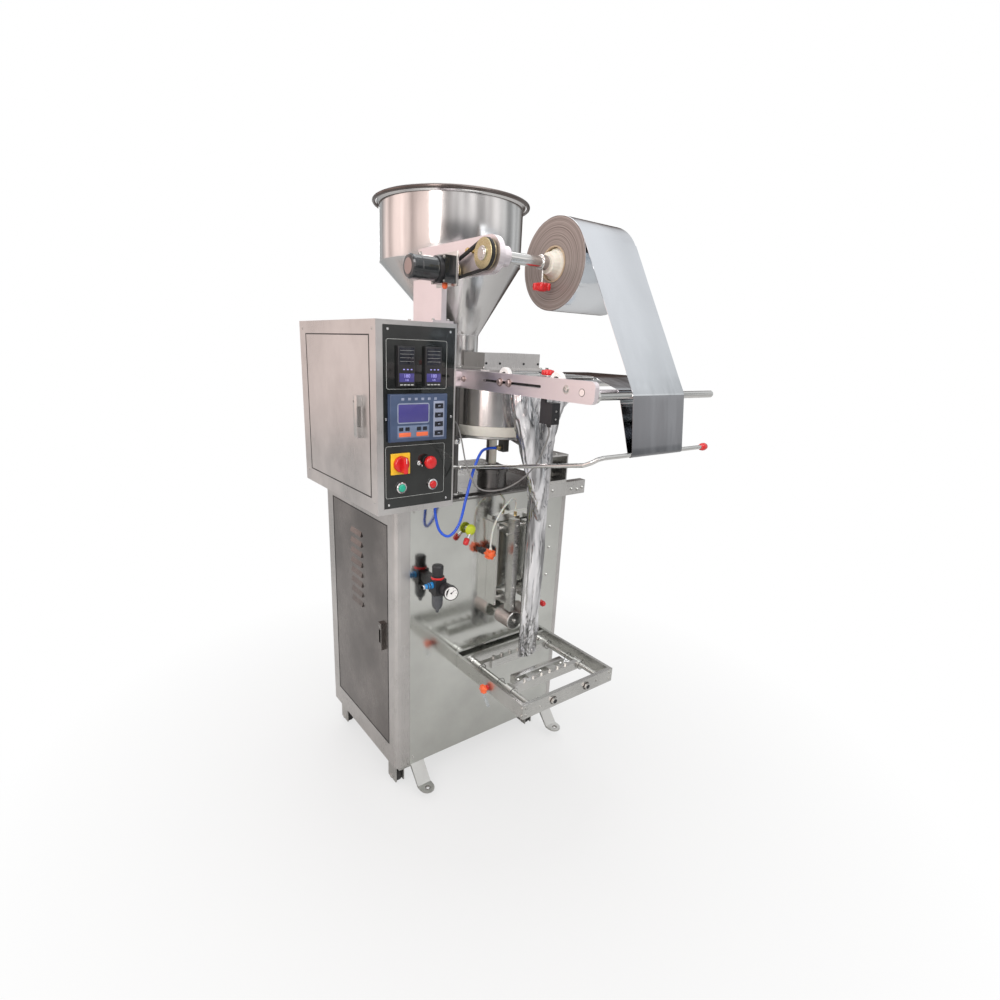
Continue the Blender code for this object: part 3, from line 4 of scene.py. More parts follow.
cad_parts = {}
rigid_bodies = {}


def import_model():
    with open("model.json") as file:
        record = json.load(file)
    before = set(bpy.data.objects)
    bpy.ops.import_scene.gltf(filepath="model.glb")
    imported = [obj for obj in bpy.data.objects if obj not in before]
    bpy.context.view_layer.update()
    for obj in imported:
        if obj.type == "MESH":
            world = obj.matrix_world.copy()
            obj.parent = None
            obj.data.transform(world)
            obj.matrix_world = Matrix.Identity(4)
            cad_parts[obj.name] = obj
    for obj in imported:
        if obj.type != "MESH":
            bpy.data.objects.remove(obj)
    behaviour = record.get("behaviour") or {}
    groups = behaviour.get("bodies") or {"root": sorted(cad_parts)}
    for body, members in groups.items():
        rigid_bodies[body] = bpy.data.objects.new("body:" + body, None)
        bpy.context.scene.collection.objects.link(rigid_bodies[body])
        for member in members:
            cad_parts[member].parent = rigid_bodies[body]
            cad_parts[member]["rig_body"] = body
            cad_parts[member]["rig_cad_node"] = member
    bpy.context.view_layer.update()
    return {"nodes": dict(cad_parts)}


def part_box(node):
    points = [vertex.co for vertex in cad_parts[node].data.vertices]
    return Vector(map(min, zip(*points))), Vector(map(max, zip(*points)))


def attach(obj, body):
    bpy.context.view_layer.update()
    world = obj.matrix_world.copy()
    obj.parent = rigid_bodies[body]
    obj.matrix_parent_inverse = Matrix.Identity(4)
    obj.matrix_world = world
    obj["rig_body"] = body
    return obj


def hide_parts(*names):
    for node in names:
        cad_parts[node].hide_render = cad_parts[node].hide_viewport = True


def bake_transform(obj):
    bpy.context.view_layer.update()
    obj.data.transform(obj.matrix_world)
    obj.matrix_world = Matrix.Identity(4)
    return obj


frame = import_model()
nodes = frame["nodes"]

# Machine axes: x from the cabinet's left side, y from its front face, z from the floor.
# at(), the hoses and the film section work in metres, all other helpers and sizes in millimetres.
MM = 1000
SIDE_X, FACE_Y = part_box("cabinet_frame")[0][0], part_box("cabinet_frame")[0][1]
WEB_X0, WEB_X1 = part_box("film_web")[0][0] - SIDE_X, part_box("film_web")[1][0] - SIDE_X
FILM_MID = (WEB_X0 + WEB_X1) / 2
TUBE_Y = -0.125
FILM_X0, FILM_X1, MID = WEB_X0 * MM, WEB_X1 * MM, FILM_MID * MM
# Centre lines: spindle and motor (y, z); metering disc, hopper neck and hopper (x, y).
AXIS = (-221, 1563)
AXIS_Y, AXIS_Z = AXIS
MOTOR_AT = (-100, 1535)
MOTOR_Y, MOTOR_Z = MOTOR_AT
DISC = (385, 75)
OUTLET, HOP = (310, 166), (310, 226)
PANEL_Y = -49
HOP_RIM = 228.5
POSTS = ((216, 35), (554, 35), (285, 226), (485, 226))
FOOT_X, FOOT_PITCH = 10, 548
LEFT, RIGHT = (-1, 0, 0), (1, 0, 0)
FORE, AFT = (0, -1, 0), (0, 1, 0)
UP, DOWN = (0, 0, 1), (0, 0, -1)
CORNERS = ("front_left", "front_right", "rear_left", "rear_right")
EVEN = (1, 1, 1)


def at(x, y, z):
    """World place of a machine point given in metres."""
    return Vector((x + SIDE_X, y + FACE_Y, z))


def spot(x, y, z):
    """World place of a machine point given in millimetres."""
    return at(x / MM, y / MM, z / MM)


# ---- finishes
def fill(tree, node, inputs):
    """Set a node's inputs by socket name, or link them where the value is another node's output."""
    for key, value in inputs.items():
        if isinstance(value, bpy.types.NodeSocket):
            tree.links.new(value, node.inputs[key])
        else:
            node.inputs[key].default_value = value


def add(tree, kind, inputs, **settings):
    node = tree.nodes.new("ShaderNode" + kind)
    for key, value in settings.items():
        setattr(node, key, value)
    fill(tree, node, inputs)
    return node


def new_material(name):
    mat = bpy.data.materials.new(name)
    mat.use_nodes = True
    tree = mat.node_tree
    return mat, tree, tree.nodes["Principled BSDF"]


def noise(tree, scale, stretch=EVEN, detail=4.0, rough=0.55):
    coord = add(tree, "TexCoord", {})
    place = add(tree, "Mapping", {"Scale": stretch, "Vector": coord.outputs["Object"]})
    tex = add(tree, "TexNoise", {"Scale": scale, "Detail": detail, "Roughness": rough,
        "Vector": place.outputs["Vector"]})
    return tex.outputs["Fac"]


def spread(tree, value, low, high, frm=0.3, to=0.7):
    return add(tree, "MapRange", {"From Min": frm, "From Max": to, "To Min": low, "To Max": high,
        "Value": value}).outputs["Result"]


def tinted(tree, value, a, b):
    return add(tree, "Mix", {"A": (*a, 1), "B": (*b, 1), "Factor": value},
        data_type="RGBA").outputs["Result"]


def bumped(tree, shader, value, strength, distance):
    bump = add(tree, "Bump", {"Strength": strength, "Distance": distance, "Height": value})
    tree.links.new(bump.outputs["Normal"], shader.inputs["Normal"])


def steel(name, colour, rough, grain=EVEN, scratch=0.25, cloud=0.10, fine=900.0):
    """Ground or polished stainless: stretched grain, slow clouding and faint smears."""
    mat, tree, bsdf = new_material(name)
    lines = noise(tree, fine, grain, 3.0)
    patches = noise(tree, 5.0, EVEN, 4.0, 0.6)
    dark = tuple(c * (1 - cloud) for c in colour)
    light = tuple(min(1.0, c * (1 + cloud * 0.6)) for c in colour)
    grained = spread(tree, lines, rough * 0.80, rough * 1.15)
    smeared = spread(tree, patches, -rough * 0.15, rough * 0.25)
    gloss = add(tree, "Math", {0: grained, 1: smeared}, operation="ADD")
    fill(tree, bsdf, {"Base Color": tinted(tree, spread(tree, patches, 0, 1, 0.35, 0.65), dark, light),
                      "Roughness": gloss.outputs[0], "Metallic": 1.0})
    bumped(tree, bsdf, lines, scratch, 0.00004)
    return mat


def solid_finish(name, colour, rough, metal=0.0, vary=0.12, bump=0.15, **sockets):
    """Paint, plastic or rubber: fine texture, small change of shade, uneven gloss."""
    mat, tree, bsdf = new_material(name)
    speck = noise(tree, 600.0)
    patches = noise(tree, 30.0, EVEN, 3.0)
    dark = tuple(c * (1 - vary) for c in colour)
    light = tuple(min(1.0, c * (1 + vary) + 0.004) for c in colour)
    fill(tree, bsdf, {"Base Color": tinted(tree, spread(tree, patches, 0, 1), dark, light),
        "Metallic": metal, "Roughness": spread(tree, speck, rough * 0.85, min(1.0, rough * 1.2))})
    for key, value in sockets.items():
        bsdf.inputs[key.replace("_", " ")].default_value = value
    bumped(tree, bsdf, speck, bump, 0.0001)
    return mat


def lit(name, colour, strength):
    mat, tree, bsdf = new_material(name)
    glow = spread(tree, noise(tree, 900.0), 0, 1)
    shaded = tinted(tree, glow, tuple(c * 0.8 for c in colour), colour)
    fill(tree, bsdf, {"Base Color": shaded, "Roughness": 0.25, "Emission Color": (*colour, 1),
                      "Emission Strength": strength})
    return mat


def clear_finish(name, colour, rough, alpha):
    mat, tree, bsdf = new_material(name)
    fill(tree, bsdf, {"Roughness": spread(tree, noise(tree, 60.0), rough * 0.6, rough * 1.6),
        "Alpha": alpha, "Base Color": (*colour, 1), "Transmission Weight": 0.85, "IOR": 1.35})
    return mat


SHEET = steel("ground stainless", (0.66, 0.655, 0.635), 0.30, (1, 1, 0.02))
SIDE = steel("side sheet stainless", (0.66, 0.645, 0.630), 0.33, (1, 1, 0.02), cloud=0.14)
MIRROR = steel("polished front sheet", (0.62, 0.63, 0.60), 0.13, (1, 1, 0.03), 0.10, 0.10)
SPUN = steel("spun hopper steel", (0.70, 0.69, 0.68), 0.16, (1, 1, 0.05), 0.12, 0.06)
POLISHED = steel("polished bar", (0.72, 0.72, 0.70), 0.16, (1, 1, 1), 0.10, 0.05)
# Film beam and unwind bracket: plate lightened and tinted rose as painted highlight.
HIGHLIT_PLATE = steel("ground plate with painted highlight", (0.86, 0.80, 0.82), 0.40, (1, 0.02, 1), 0.2, 0.05)
# Cabinet door: the same stainless darkened far below the other sheets as painted shade, with strong dark
# clouding.
SHADED_DOOR = steel("door sheet in painted shade", (0.23, 0.213, 0.203), 0.24, (1, 1, 0.02), cloud=0.30)
BODY = steel("cabinet sheet", (0.58, 0.565, 0.550), 0.30, (1, 1, 0.02), cloud=0.14)
# Feeder stand and shaft bearing: steel darkened as painted shade under the disc.
SHADED_STEEL = steel("steel in painted shade", (0.17, 0.165, 0.160), 0.30, (1, 1, 1), 0.3, 0.20, 250.0)
# Table plate: steel darkened as painted shade under the drum.
SHADED_TABLE = steel("table plate in painted shade", (0.27, 0.265, 0.255), 0.24, (1, 0.02, 1), 0.2, 0.14)
MACHINED = steel("machined steel", (0.58, 0.58, 0.56), 0.28, (0.05, 1, 1), 0.35, 0.12)
CAST = steel("cast alloy", (0.55, 0.55, 0.53), 0.42, (1, 1, 1), 0.6, 0.15, 250.0)
SCREW = steel("screw heads", (0.60, 0.60, 0.58), 0.25, (1, 1, 1), 0.2, 0.1)
BLACKENED = steel("blackened screws", (0.05, 0.05, 0.052), 0.35, (1, 1, 1), 0.2, 0.1)
ZINC = steel("yellow zinc plate", (0.62, 0.55, 0.33), 0.28, (1, 1, 1), 0.2, 0.18)
BRASS = steel("brass", (0.72, 0.56, 0.28), 0.25, (1, 1, 1), 0.2, 0.12)
HEATED = steel("heated jaw face", (0.52, 0.47, 0.38), 0.36, (0.05, 1, 1), 0.4, 0.25)
# Rims and rings: steel darkened brown as painted shade.
SHADED_RIM = steel("rim steel in painted shade", (0.16, 0.135, 0.125), 0.25, (1, 1, 1), 0.2, 0.12)
PANEL_BLACK = solid_finish("acrylic panel", (0.010, 0.012, 0.011), 0.09, vary=0.3, bump=0.03,
    Coat_Weight=0.5)
BLACK = solid_finish("black moulding", (0.018, 0.018, 0.020), 0.38)
MOTOR = solid_finish("motor enamel", (0.022, 0.026, 0.028), 0.18, 0.3, Coat_Weight=0.7)
CAP = steel("motor cap", (0.45, 0.37, 0.35), 0.40, (1, 1, 1), 0.3, 0.10)
BLUE_BOX = solid_finish("controller housing", (0.055, 0.085, 0.160), 0.34)
BLUE_KEYS = solid_finish("key field", (0.16, 0.21, 0.32), 0.40)
RUBBER = solid_finish("rubber", (0.012, 0.012, 0.012), 0.62, vary=0.25, bump=0.4)
TREAD = solid_finish("castor tread", (0.035, 0.034, 0.033), 0.55, vary=0.3, bump=0.4)
RED = solid_finish("red moulding", (0.66, 0.012, 0.014), 0.24, Coat_Weight=0.4)
ORANGE = solid_finish("orange moulding", (0.85, 0.13, 0.025), 0.28, Coat_Weight=0.3)
GREEN = solid_finish("green lens", (0.010, 0.42, 0.27), 0.22, Coat_Weight=0.4)
YELLOW = solid_finish("yellow plate", (0.88, 0.52, 0.02), 0.35)
VALVE = solid_finish("yellow green cap", (0.62, 0.72, 0.03), 0.30)
CREAM = solid_finish("cream nylon", (0.80, 0.77, 0.68), 0.42, vary=0.06, Subsurface_Weight=0.05)
WHITE = solid_finish("white moulding", (0.82, 0.82, 0.80), 0.40, vary=0.05)
CARD = solid_finish("core board", (0.46, 0.36, 0.25), 0.80, vary=0.15, bump=0.4)
PRINT = solid_finish("panel line print", (0.55, 0.57, 0.55), 0.50, vary=0.05)
SILVERED = steel("plated bezel", (0.80, 0.80, 0.80), 0.12, (1, 1, 1), 0.05, 0.04)
DISPLAY = lit("violet display", (0.055, 0.048, 0.200), 0.28)
DARK_FACE = solid_finish("dark window", (0.012, 0.014, 0.022), 0.14, vary=0.3, bump=0.03)
KEY_FIELD = solid_finish("light key field", (0.30, 0.34, 0.45), 0.40)
SEGMENTS = lit("lit segments", (0.34, 0.32, 0.75), 0.5)
RED_KEY = solid_finish("orange keys", (0.85, 0.17, 0.07), 0.40)
CYAN = solid_finish("light blue fitting", (0.020, 0.260, 0.640), 0.28, Coat_Weight=0.3)
HOSE_BLUE = solid_finish("blue air hose", (0.010, 0.085, 0.62), 0.22, vary=0.1, Coat_Weight=0.4)
HOSE_WHITE = solid_finish("milky air hose", (0.72, 0.71, 0.66), 0.25, vary=0.08, Subsurface_Weight=0.2)
CABLE = solid_finish("grey cable", (0.20, 0.20, 0.195), 0.45, vary=0.1)
BOWL = clear_finish("clear filter bowl", (0.80, 0.86, 0.92), 0.06, 0.55)


def film_finish(name, colour, rough, wrinkle, depth, painted_streaks=False):
    """Metallised packing film: bright, with long soft creases; where it is gathered, its colour is streaked
    dark with painted shade.
    """
    mat, tree, bsdf = new_material(name)
    creases = noise(tree, 6.0, (3.5, 3.5, 0.5), 2.0, 0.4)
    broad = noise(tree, 2.2, (2.5, 2.5, 0.5), 1.0, 0.4)
    both = add(tree, "Math", {0: creases, 1: broad}, operation="ADD")
    if painted_streaks:
        # painted shade in long upright streaks
        shade = spread(tree, noise(tree, 48.0, (1, 0.7, 0.10), 3.0, 0.5), 0, 1, 0.40, 0.58)
    else:
        shade = spread(tree, broad, 0, 1, 0.35, 0.65)
    dark = tuple(c * (0.34 if painted_streaks else 0.80) for c in colour)
    fill(tree, bsdf, {"Base Color": tinted(tree, shade, dark, colour), "Metallic": 1.0,
                      "Roughness": spread(tree, creases, rough * 0.8, rough * 1.3)})
    bumped(tree, bsdf, both.outputs[0], wrinkle, depth)
    return mat


FILM = film_finish("metallised film", (0.80, 0.83, 0.86), 0.10, 0.25, 0.004)
LOOP_FILM = film_finish("film in shade", (0.31, 0.315, 0.33), 0.10, 0.30, 0.004)
# Gathered sleeve film, its colour streaked with painted shade.
CRUMPLED = film_finish("creased film", (0.90, 0.90, 0.92), 0.14, 0.30, 0.003, True)


def wound_finish():
    """Edges of the wound film: fine rings about the spindle, in grey and brown."""
    mat, tree, bsdf = new_material("wound film edge")
    coord = add(tree, "TexCoord", {})
    centre = spot(0, *AXIS)
    from_axis = {"Location": (0, -centre.y, -centre.z), "Vector": coord.outputs["Object"]}
    place = add(tree, "Mapping", from_axis)
    split = add(tree, "SeparateXYZ", {0: place.outputs["Vector"]}).outputs
    level = add(tree, "CombineXYZ", {"Y": split["Y"], "Z": split["Z"]})
    size = add(tree, "VectorMath", {0: level.outputs[0]}, operation="LENGTH")
    rings = add(tree, "TexNoise", {"Scale": 420.0, "Detail": 5.0, "W": size.outputs["Value"]},
        noise_dimensions="1D")
    turns = rings.outputs["Fac"]
    shaded = tinted(tree, spread(tree, turns, 0, 1), (0.15, 0.12, 0.11), (0.42, 0.37, 0.34))
    fill(tree, bsdf, {"Base Color": shaded, "Roughness": spread(tree, turns, 0.35, 0.55), "Metallic": 0.35})
    bumped(tree, bsdf, turns, 0.4, 0.0003)
    return mat


WOUND = wound_finish()


# ---- modelling helpers
def deselect():
    bpy.ops.object.select_all(action="DESELECT")


def pick(piece):
    deselect()
    piece.select_set(True)
    bpy.context.view_layer.objects.active = piece


def edit(piece):
    pick(piece)
    bpy.ops.object.mode_set(mode="EDIT")
    bpy.ops.mesh.select_all(action="SELECT")


def leave():
    bpy.ops.object.mode_set(mode="OBJECT")


def apply_place(piece):
    pick(piece)
    bpy.ops.object.transform_apply(location=True, rotation=True, scale=True)


def settle(piece, finish=None, smooth=30):
    """Place applied, smoothed by angle and given one finish."""
    apply_place(piece)
    if smooth:
        bpy.ops.object.shade_smooth_by_angle(angle=math.radians(smooth))
    if finish is not None:
        piece.data.materials.clear()
        piece.data.materials.append(finish)
    return piece


def close_up():
    """Turn every face outward and leave edit mode."""
    bpy.ops.mesh.select_all(action="SELECT")
    bpy.ops.mesh.normals_make_consistent(inside=False)
    leave()


def draw_out(travel):
    bpy.ops.mesh.extrude_region_move(TRANSFORM_OT_translate={"value": travel})


def aim(piece, origin, axis):
    turn = Vector(UP).rotation_difference(Vector(axis).normalized()).to_matrix().to_4x4()
    piece.matrix_world = Matrix.Translation(spot(*origin)) @ turn


def block(x0, x1, y0, y1, z0, z1, finish, soft=0.6, steps=2):
    """Cube sized between machine coordinates, edges bevelled."""
    deselect()
    bpy.ops.mesh.primitive_cube_add(size=1, location=spot((x0 + x1) / 2, (y0 + y1) / 2, (z0 + z1) / 2))
    piece = bpy.context.object
    piece.scale = ((x1 - x0) / MM, (y1 - y0) / MM, (z1 - z0) / MM)
    apply_place(piece)
    if soft:
        edit(piece)
        bpy.ops.mesh.bevel(offset=soft / MM, segments=steps, affect="EDGES")
        leave()
    return settle(piece, finish)


def turned(origin, axis, steps, finish, sides=32, smooth=30):
    """Disc drawn out along axis through (radius, distance) steps. origin is a machine point."""
    deselect()
    r, t = (value / MM for value in steps[0])
    bpy.ops.mesh.primitive_circle_add(vertices=sides, radius=r, fill_type="NGON", location=(0, 0, t))
    piece = bpy.context.object
    apply_place(piece)
    edit(piece)
    for step in steps[1:]:
        r1, t1 = (value / MM for value in step)
        draw_out((0, 0, t1 - t))
        if abs(r1 - r) > 1e-9:
            bpy.ops.transform.resize(value=(r1 / r, r1 / r, 1), center_override=(0, 0, t1))
        r, t = r1, t1
    close_up()
    aim(piece, origin, axis)
    return settle(piece, finish, smooth)


def rod(a, b, r, finish, sides=20, chamfer=0.6):
    span = (Vector(b) - Vector(a)).length
    c = min(chamfer, r * 0.3)
    return turned(a, Vector(b) - Vector(a), [(r - c, 0), (r, c), (r, span - c), (r - c, span)], finish,
        sides)


def ring(origin, axis, major, minor, finish, sides=40, tube=10):
    deselect()
    bpy.ops.mesh.primitive_torus_add(major_radius=major / MM, minor_radius=minor / MM,
        major_segments=sides, minor_segments=tube)
    piece = bpy.context.object
    aim(piece, origin, axis)
    return settle(piece, finish, 60)


def socket_screw(origin, axis, r, h, finish, washer):
    """Cap screw with a sunk six-sided socket, on a washer."""
    steps = [(r * 1.6, 0), (r * 1.6, h * 0.15), (r, h * 0.15)] if washer else [(r, 0)]
    steps += [(r, h * 0.85), (r * 0.86, h), (r * 0.52, h), (r * 0.48, h * 0.5)]
    return turned(origin, axis, steps, finish, 18)


def hex_bolt(origin, axis, r, h, finish=SCREW):
    """Six-sided head on a washer, corners eased."""
    washer = turned(origin, axis, [(r * 1.25, 0), (r * 1.25, h * 0.18)], finish, 24)
    head = turned(origin, axis, [(r, h * 0.18), (r, h * 0.85), (r * 0.82, h)], finish, 6, 10)
    return join([washer, head], "bolt")


def flat_face(middle, turn, scale):
    """Square face laid on an upright side and stretched; left in edit mode."""
    deselect()
    bpy.ops.mesh.primitive_plane_add(size=1, location=middle, rotation=turn)
    piece = bpy.context.object
    piece.scale = scale
    apply_place(piece)
    edit(piece)
    return piece


def strip(width, travel):
    """Keep only a strip round the face being edited and draw it out a little."""
    bpy.ops.mesh.select_all(action="SELECT")
    bpy.ops.mesh.inset(thickness=width)
    bpy.ops.mesh.delete(type="FACE")
    bpy.ops.mesh.select_all(action="SELECT")
    draw_out(travel)
    close_up()


def outline(x0, x1, z0, z1, y, width, finish):
    """Printed line round a rectangle on an upright face."""
    piece = flat_face(spot((x0 + x1) / 2, y, (z0 + z1) / 2), (math.radians(90), 0, 0),
                      ((x1 - x0) / MM, (z1 - z0) / MM, 1))
    bpy.ops.mesh.bevel(offset=0.006, segments=5, affect="VERTICES")
    strip(width / MM, (0, -0.0002, 0))
    return settle(piece, finish)


def gap_shadow_outline(y0, y1, z0, z1, x, width):
    """Dark strip round a door on an upright side: painted shadow of the door gap, in the rubber finish; in
    metres.
    """
    piece = flat_face(at(x + 0.0006, (y0 + y1) / 2, (z0 + z1) / 2), (0, math.radians(90), 0),
        (z1 - z0, y1 - y0, 1))
    strip(width, (-0.0012, 0, 0))
    return settle(piece, RUBBER, None)


def figures(text, x, y, z, height, finish):
    """Raised numerals facing out of the panel."""
    deselect()
    bpy.ops.object.text_add()
    piece = bpy.context.object
    piece.data.body = text
    piece.data.size = height / MM * 1.4
    piece.data.extrude = 0.00012
    piece.data.align_x, piece.data.align_y = "CENTER", "CENTER"
    piece.data.resolution_u = 3
    pick(piece)
    bpy.ops.object.convert(target="MESH")
    piece = bpy.context.object
    piece.rotation_euler = (math.radians(90), 0, 0)
    piece.location = spot(x, y, z)
    return settle(piece, finish, None)


def join(parts, name):
    deselect()
    for part in parts:
        part.select_set(True)
    bpy.context.view_layer.objects.active = parts[0]
    if len(parts) > 1:
        bpy.ops.object.join()
    whole = bpy.context.view_layer.objects.active
    whole.name = name
    whole.data.name = name
    return whole


def about(x, y, *profile):
    """Rings round one upright axis from (radius, height) pairs."""
    return [(x, y, r, z) for r, z in profile]


def circle_of(x, y, z, r, *angles):
    return [(x + r * math.cos(t), y + r * math.sin(t), z) for t in angles]


def lofted(rings, finish, sides=96, smooth=40):
    """Thin-walled shell drawn through (x, y, radius, z) rings, up the outside and down the inside."""
    deselect()
    x0, y0, r0, z0 = rings[0]
    bpy.ops.mesh.primitive_circle_add(vertices=sides, radius=r0 / MM, fill_type="NOTHING",
        location=spot(x0, y0, z0))
    piece = bpy.context.object
    apply_place(piece)
    edit(piece)
    for (xa, ya, ra, za), (xb, yb, rb, zb) in zip(rings, rings[1:]):
        draw_out(((xb - xa) / MM, (yb - ya) / MM, (zb - za) / MM))
        if abs(rb - ra) > 1e-6:
            bpy.ops.transform.resize(value=(rb / ra, rb / ra, 1), center_override=spot(xb, yb, zb))
    bpy.ops.mesh.select_all(action="DESELECT")
    bpy.ops.mesh.select_non_manifold()
    bpy.ops.mesh.bridge_edge_loops()
    close_up()
    return settle(piece, finish, smooth)


def sleeve_x(outer, inner, x0, x1, finish, sides=96, soft=0.4, y=AXIS_Y, z=AXIS_Z):
    """Tube lying along X, on the spindle's axis unless told otherwise."""
    piece = lofted(about(0, 0, (outer - soft, x0), (outer, x0 + soft), (outer, x1 - soft),
        (outer - soft, x1), (inner, x1), (inner, x0)), finish, sides)
    turn = Matrix.Rotation(math.radians(90), 4, "Y") @ Matrix.Translation(-at(0, 0, 0))
    piece.matrix_world = Matrix.Translation(spot(0, y, z)) @ turn
    return settle(piece, finish, 40)


def like(parts, name, node, replaced=False):
    """Piece that rides with a node of the frame and may stand in its place."""
    piece = join(parts if isinstance(parts, list) else [parts], name)
    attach(piece, nodes[node]["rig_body"])
    if replaced:
        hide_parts(node)
    return piece


def copy_of(name):
    """Own mesh made from a node of the frame, doubled points merged."""
    deselect()
    twin = nodes[name].copy()
    twin.data = nodes[name].data.copy()
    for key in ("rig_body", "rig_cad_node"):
        del twin[key]
    twin.parent = None
    bpy.context.scene.collection.objects.link(twin)
    pick(twin)
    bpy.ops.mesh.customdata_custom_splitnormals_clear()
    edit(twin)
    bpy.ops.mesh.remove_doubles(threshold=0.00002)
    bpy.ops.mesh.normals_make_consistent(inside=False)
    leave()
    return twin


def screws(points, axis, r, h, finish=SCREW, hexed=False, washer=True):
    if hexed:
        return [hex_bolt(p, axis, r, h, finish) for p in points]
    return [socket_screw(p, axis, r, h, finish, washer) for p in points]


def star_knob(origin, axis, r, h, finish, lobes=6):
    """Hand knob: rounded lobes about a domed boss."""
    away = Vector(axis).normalized()
    u = away.orthogonal().normalized()
    v = away.cross(u)
    boss = [(r * 0.70, 0), (r * 0.74, h * 0.15), (r * 0.74, h * 0.8), (r * 0.55, h), (r * 0.2, h * 1.05)]
    lobe = [(r * 0.22, 0), (r * 0.28, h * 0.15), (r * 0.28, h * 0.72), (r * 0.18, h * 0.92)]
    made = [turned(origin, axis, boss, finish, 24, 50)]
    for k in range(lobes):
        t = 2 * math.pi * k / lobes
        p = Vector(origin) + (u * math.cos(t) + v * math.sin(t)) * (r * 0.72)
        made.append(turned(p, axis, lobe, finish, 16, 50))
    return join(made, "knob")


def hose(name, route, r, finish, replaced):
    """Hose through its guide points as one open curve; in metres."""
    G = [Vector(p) for p in route]
    G = [G[0] * 2 - G[1]] + G + [G[-1] * 2 - G[-2]]
    dense = []
    for i in range(1, len(G) - 2):
        p0, p1, p2, p3 = G[i - 1], G[i], G[i + 1], G[i + 2]
        for k in range(16):
            t = k / 16
            dense.append(0.5 * ((2 * p1) + (p2 - p0) * t + (2 * p0 - 5 * p1 + 4 * p2 - p3) * t * t
                                + (3 * p1 - p0 - 3 * p2 + p3) * t ** 3))
    dense.append(G[-2])
    curve = bpy.data.curves.new(name, "CURVE")
    curve.dimensions, curve.bevel_depth, curve.bevel_resolution, curve.use_fill_caps = "3D", r, 6, True
    line = curve.splines.new("POLY")
    line.points.add(len(dense) - 1)
    for point, p in zip(line.points, dense):
        point.co = (*at(*p), 1)
    line.use_smooth = True
    piece = bpy.data.objects.new(name, curve)
    bpy.context.scene.collection.objects.link(piece)
    curve.materials.append(finish)
    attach(piece, "machine")
    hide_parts(replaced)
    return piece


def dress(finish, *names):
    for name in names:
        piece = nodes[name]
        piece.data.materials.clear()
        piece.data.materials.append(finish)


# ---- camera
scene = bpy.context.scene
eye = bpy.data.cameras.new("camera")
eye.lens, eye.sensor_width = 20.50, 36.0
eye.shift_x, eye.shift_y = 0.0219, 0.0233
eye.clip_start = 0.01
camera = bpy.data.objects.new("camera", eye)
scene.collection.objects.link(camera)
camera.location = at(-0.7057, -1.3204, 1.3652)
camera.rotation_euler = (math.radians(72.855), math.radians(-2.1634), math.radians(-36.1418))
scene.camera = camera

# ---- finishes on the carried frame
dress(SHEET, "corner_bracket")
dress(BODY, "cabinet_frame")
dress(SHADED_TABLE, "table_plate")
dress(SHADED_DOOR, "cabinet_door")
dress(SIDE, "control_box", "control_box_door", "back_panel", "feeder_cover")
dress(MIRROR, "front_panel")
dress(CAST, *["foot_" + corner for corner in CORNERS])
dress(TREAD, *["castor_wheel_" + corner for corner in CORNERS])
dress(PANEL_BLACK, "control_panel")
dress(BLACK, "temperature_controller_left", "temperature_controller_right", "photo_eye", "air_regulator")
dress(BLUE_BOX, "cycle_controller")
dress(RED, "main_switch_knob", "emergency_stop_button", "stop_button")
dress(GREEN, "start_button")
dress(HIGHLIT_PLATE, "unwind_bracket", "film_beam")
dress(MOTOR, "unwind_motor", "main_gearmotor")
dress(ZINC, "motor_pulley", "unwind_spindle")
dress(RUBBER, "drive_belt")
dress(CREAM, "roll_hub_cones", "metering_disc", "infeed_roller", "top_roller")
dress(POLISHED, "guide_bar_front", "dancer_arm", "seal_rails")
dress(SHADED_STEEL, "feeder_stand")
dress(MACHINED, "seal_bar_left", "seal_bar_right", "jaw_frame", "front_jaw", "rear_jaw")
dress(MACHINED, "pull_roller_left", "pull_roller_right")
dress(SPUN, "hopper", "feeder_drum", "forming_tube")
dress(FILM, "film_web", "film_sleeve", "film_roll")
dress(ORANGE, "nozzle_knob")
dress(VALVE, "throttle_valve")
dress(HOSE_BLUE, "air_hose_blue")
dress(HOSE_WHITE, "air_hose_white")
dress(CABLE, "sensor_cable")

# ---- hopper, drum and disc
HOP_R, NECK_R = 208, 55
hopper_rings = [(*OUTLET, 66, 1308.3), (*OUTLET, 66, 1312), (*OUTLET, 56, 1312.8), (*OUTLET, NECK_R, 1343),
    (*OUTLET, NECK_R, 1398.5), (*OUTLET, NECK_R + 1.2, 1400.5), (*HOP, HOP_R - 1.2, 1592.5),
    (*HOP, HOP_R, 1595), (*HOP, HOP_R, 1746), (*HOP, HOP_R + 4, 1750), (*HOP, HOP_R + 7, 1752),
    (*HOP, HOP_R + 7, 1753.5), (*HOP, HOP_R - 1.5, 1753), (*HOP, HOP_R - 1.8, 1595),
    (*OUTLET, NECK_R - 1.5, 1400), (*OUTLET, 47, 1330), (*OUTLET, 47, 1308.3)]
shell = lofted(hopper_rings, SPUN, 160)
like([
    shell,
    ring((*HOP, 1593.8), UP, HOP_R - 0.6, 1.2, SPUN, 160, 8),
    ring((*OUTLET, 1399.5), UP, NECK_R, 1.4, SPUN, 96, 8),
    *screws(circle_of(*OUTLET, 1311.8, 60, 0.3, 1.35, 2.4, 3.44, 4.49, 5.54), UP, 2.4, 3)
], "hopper_shell", "hopper", True)
# Hopper's rolled rim, in the steel darkened as painted shade.
like(ring((*HOP, 1753), UP, HOP_RIM - 6.6, 5.2, SHADED_RIM, 160, 20), "hopper_rolled_rim", "hopper")

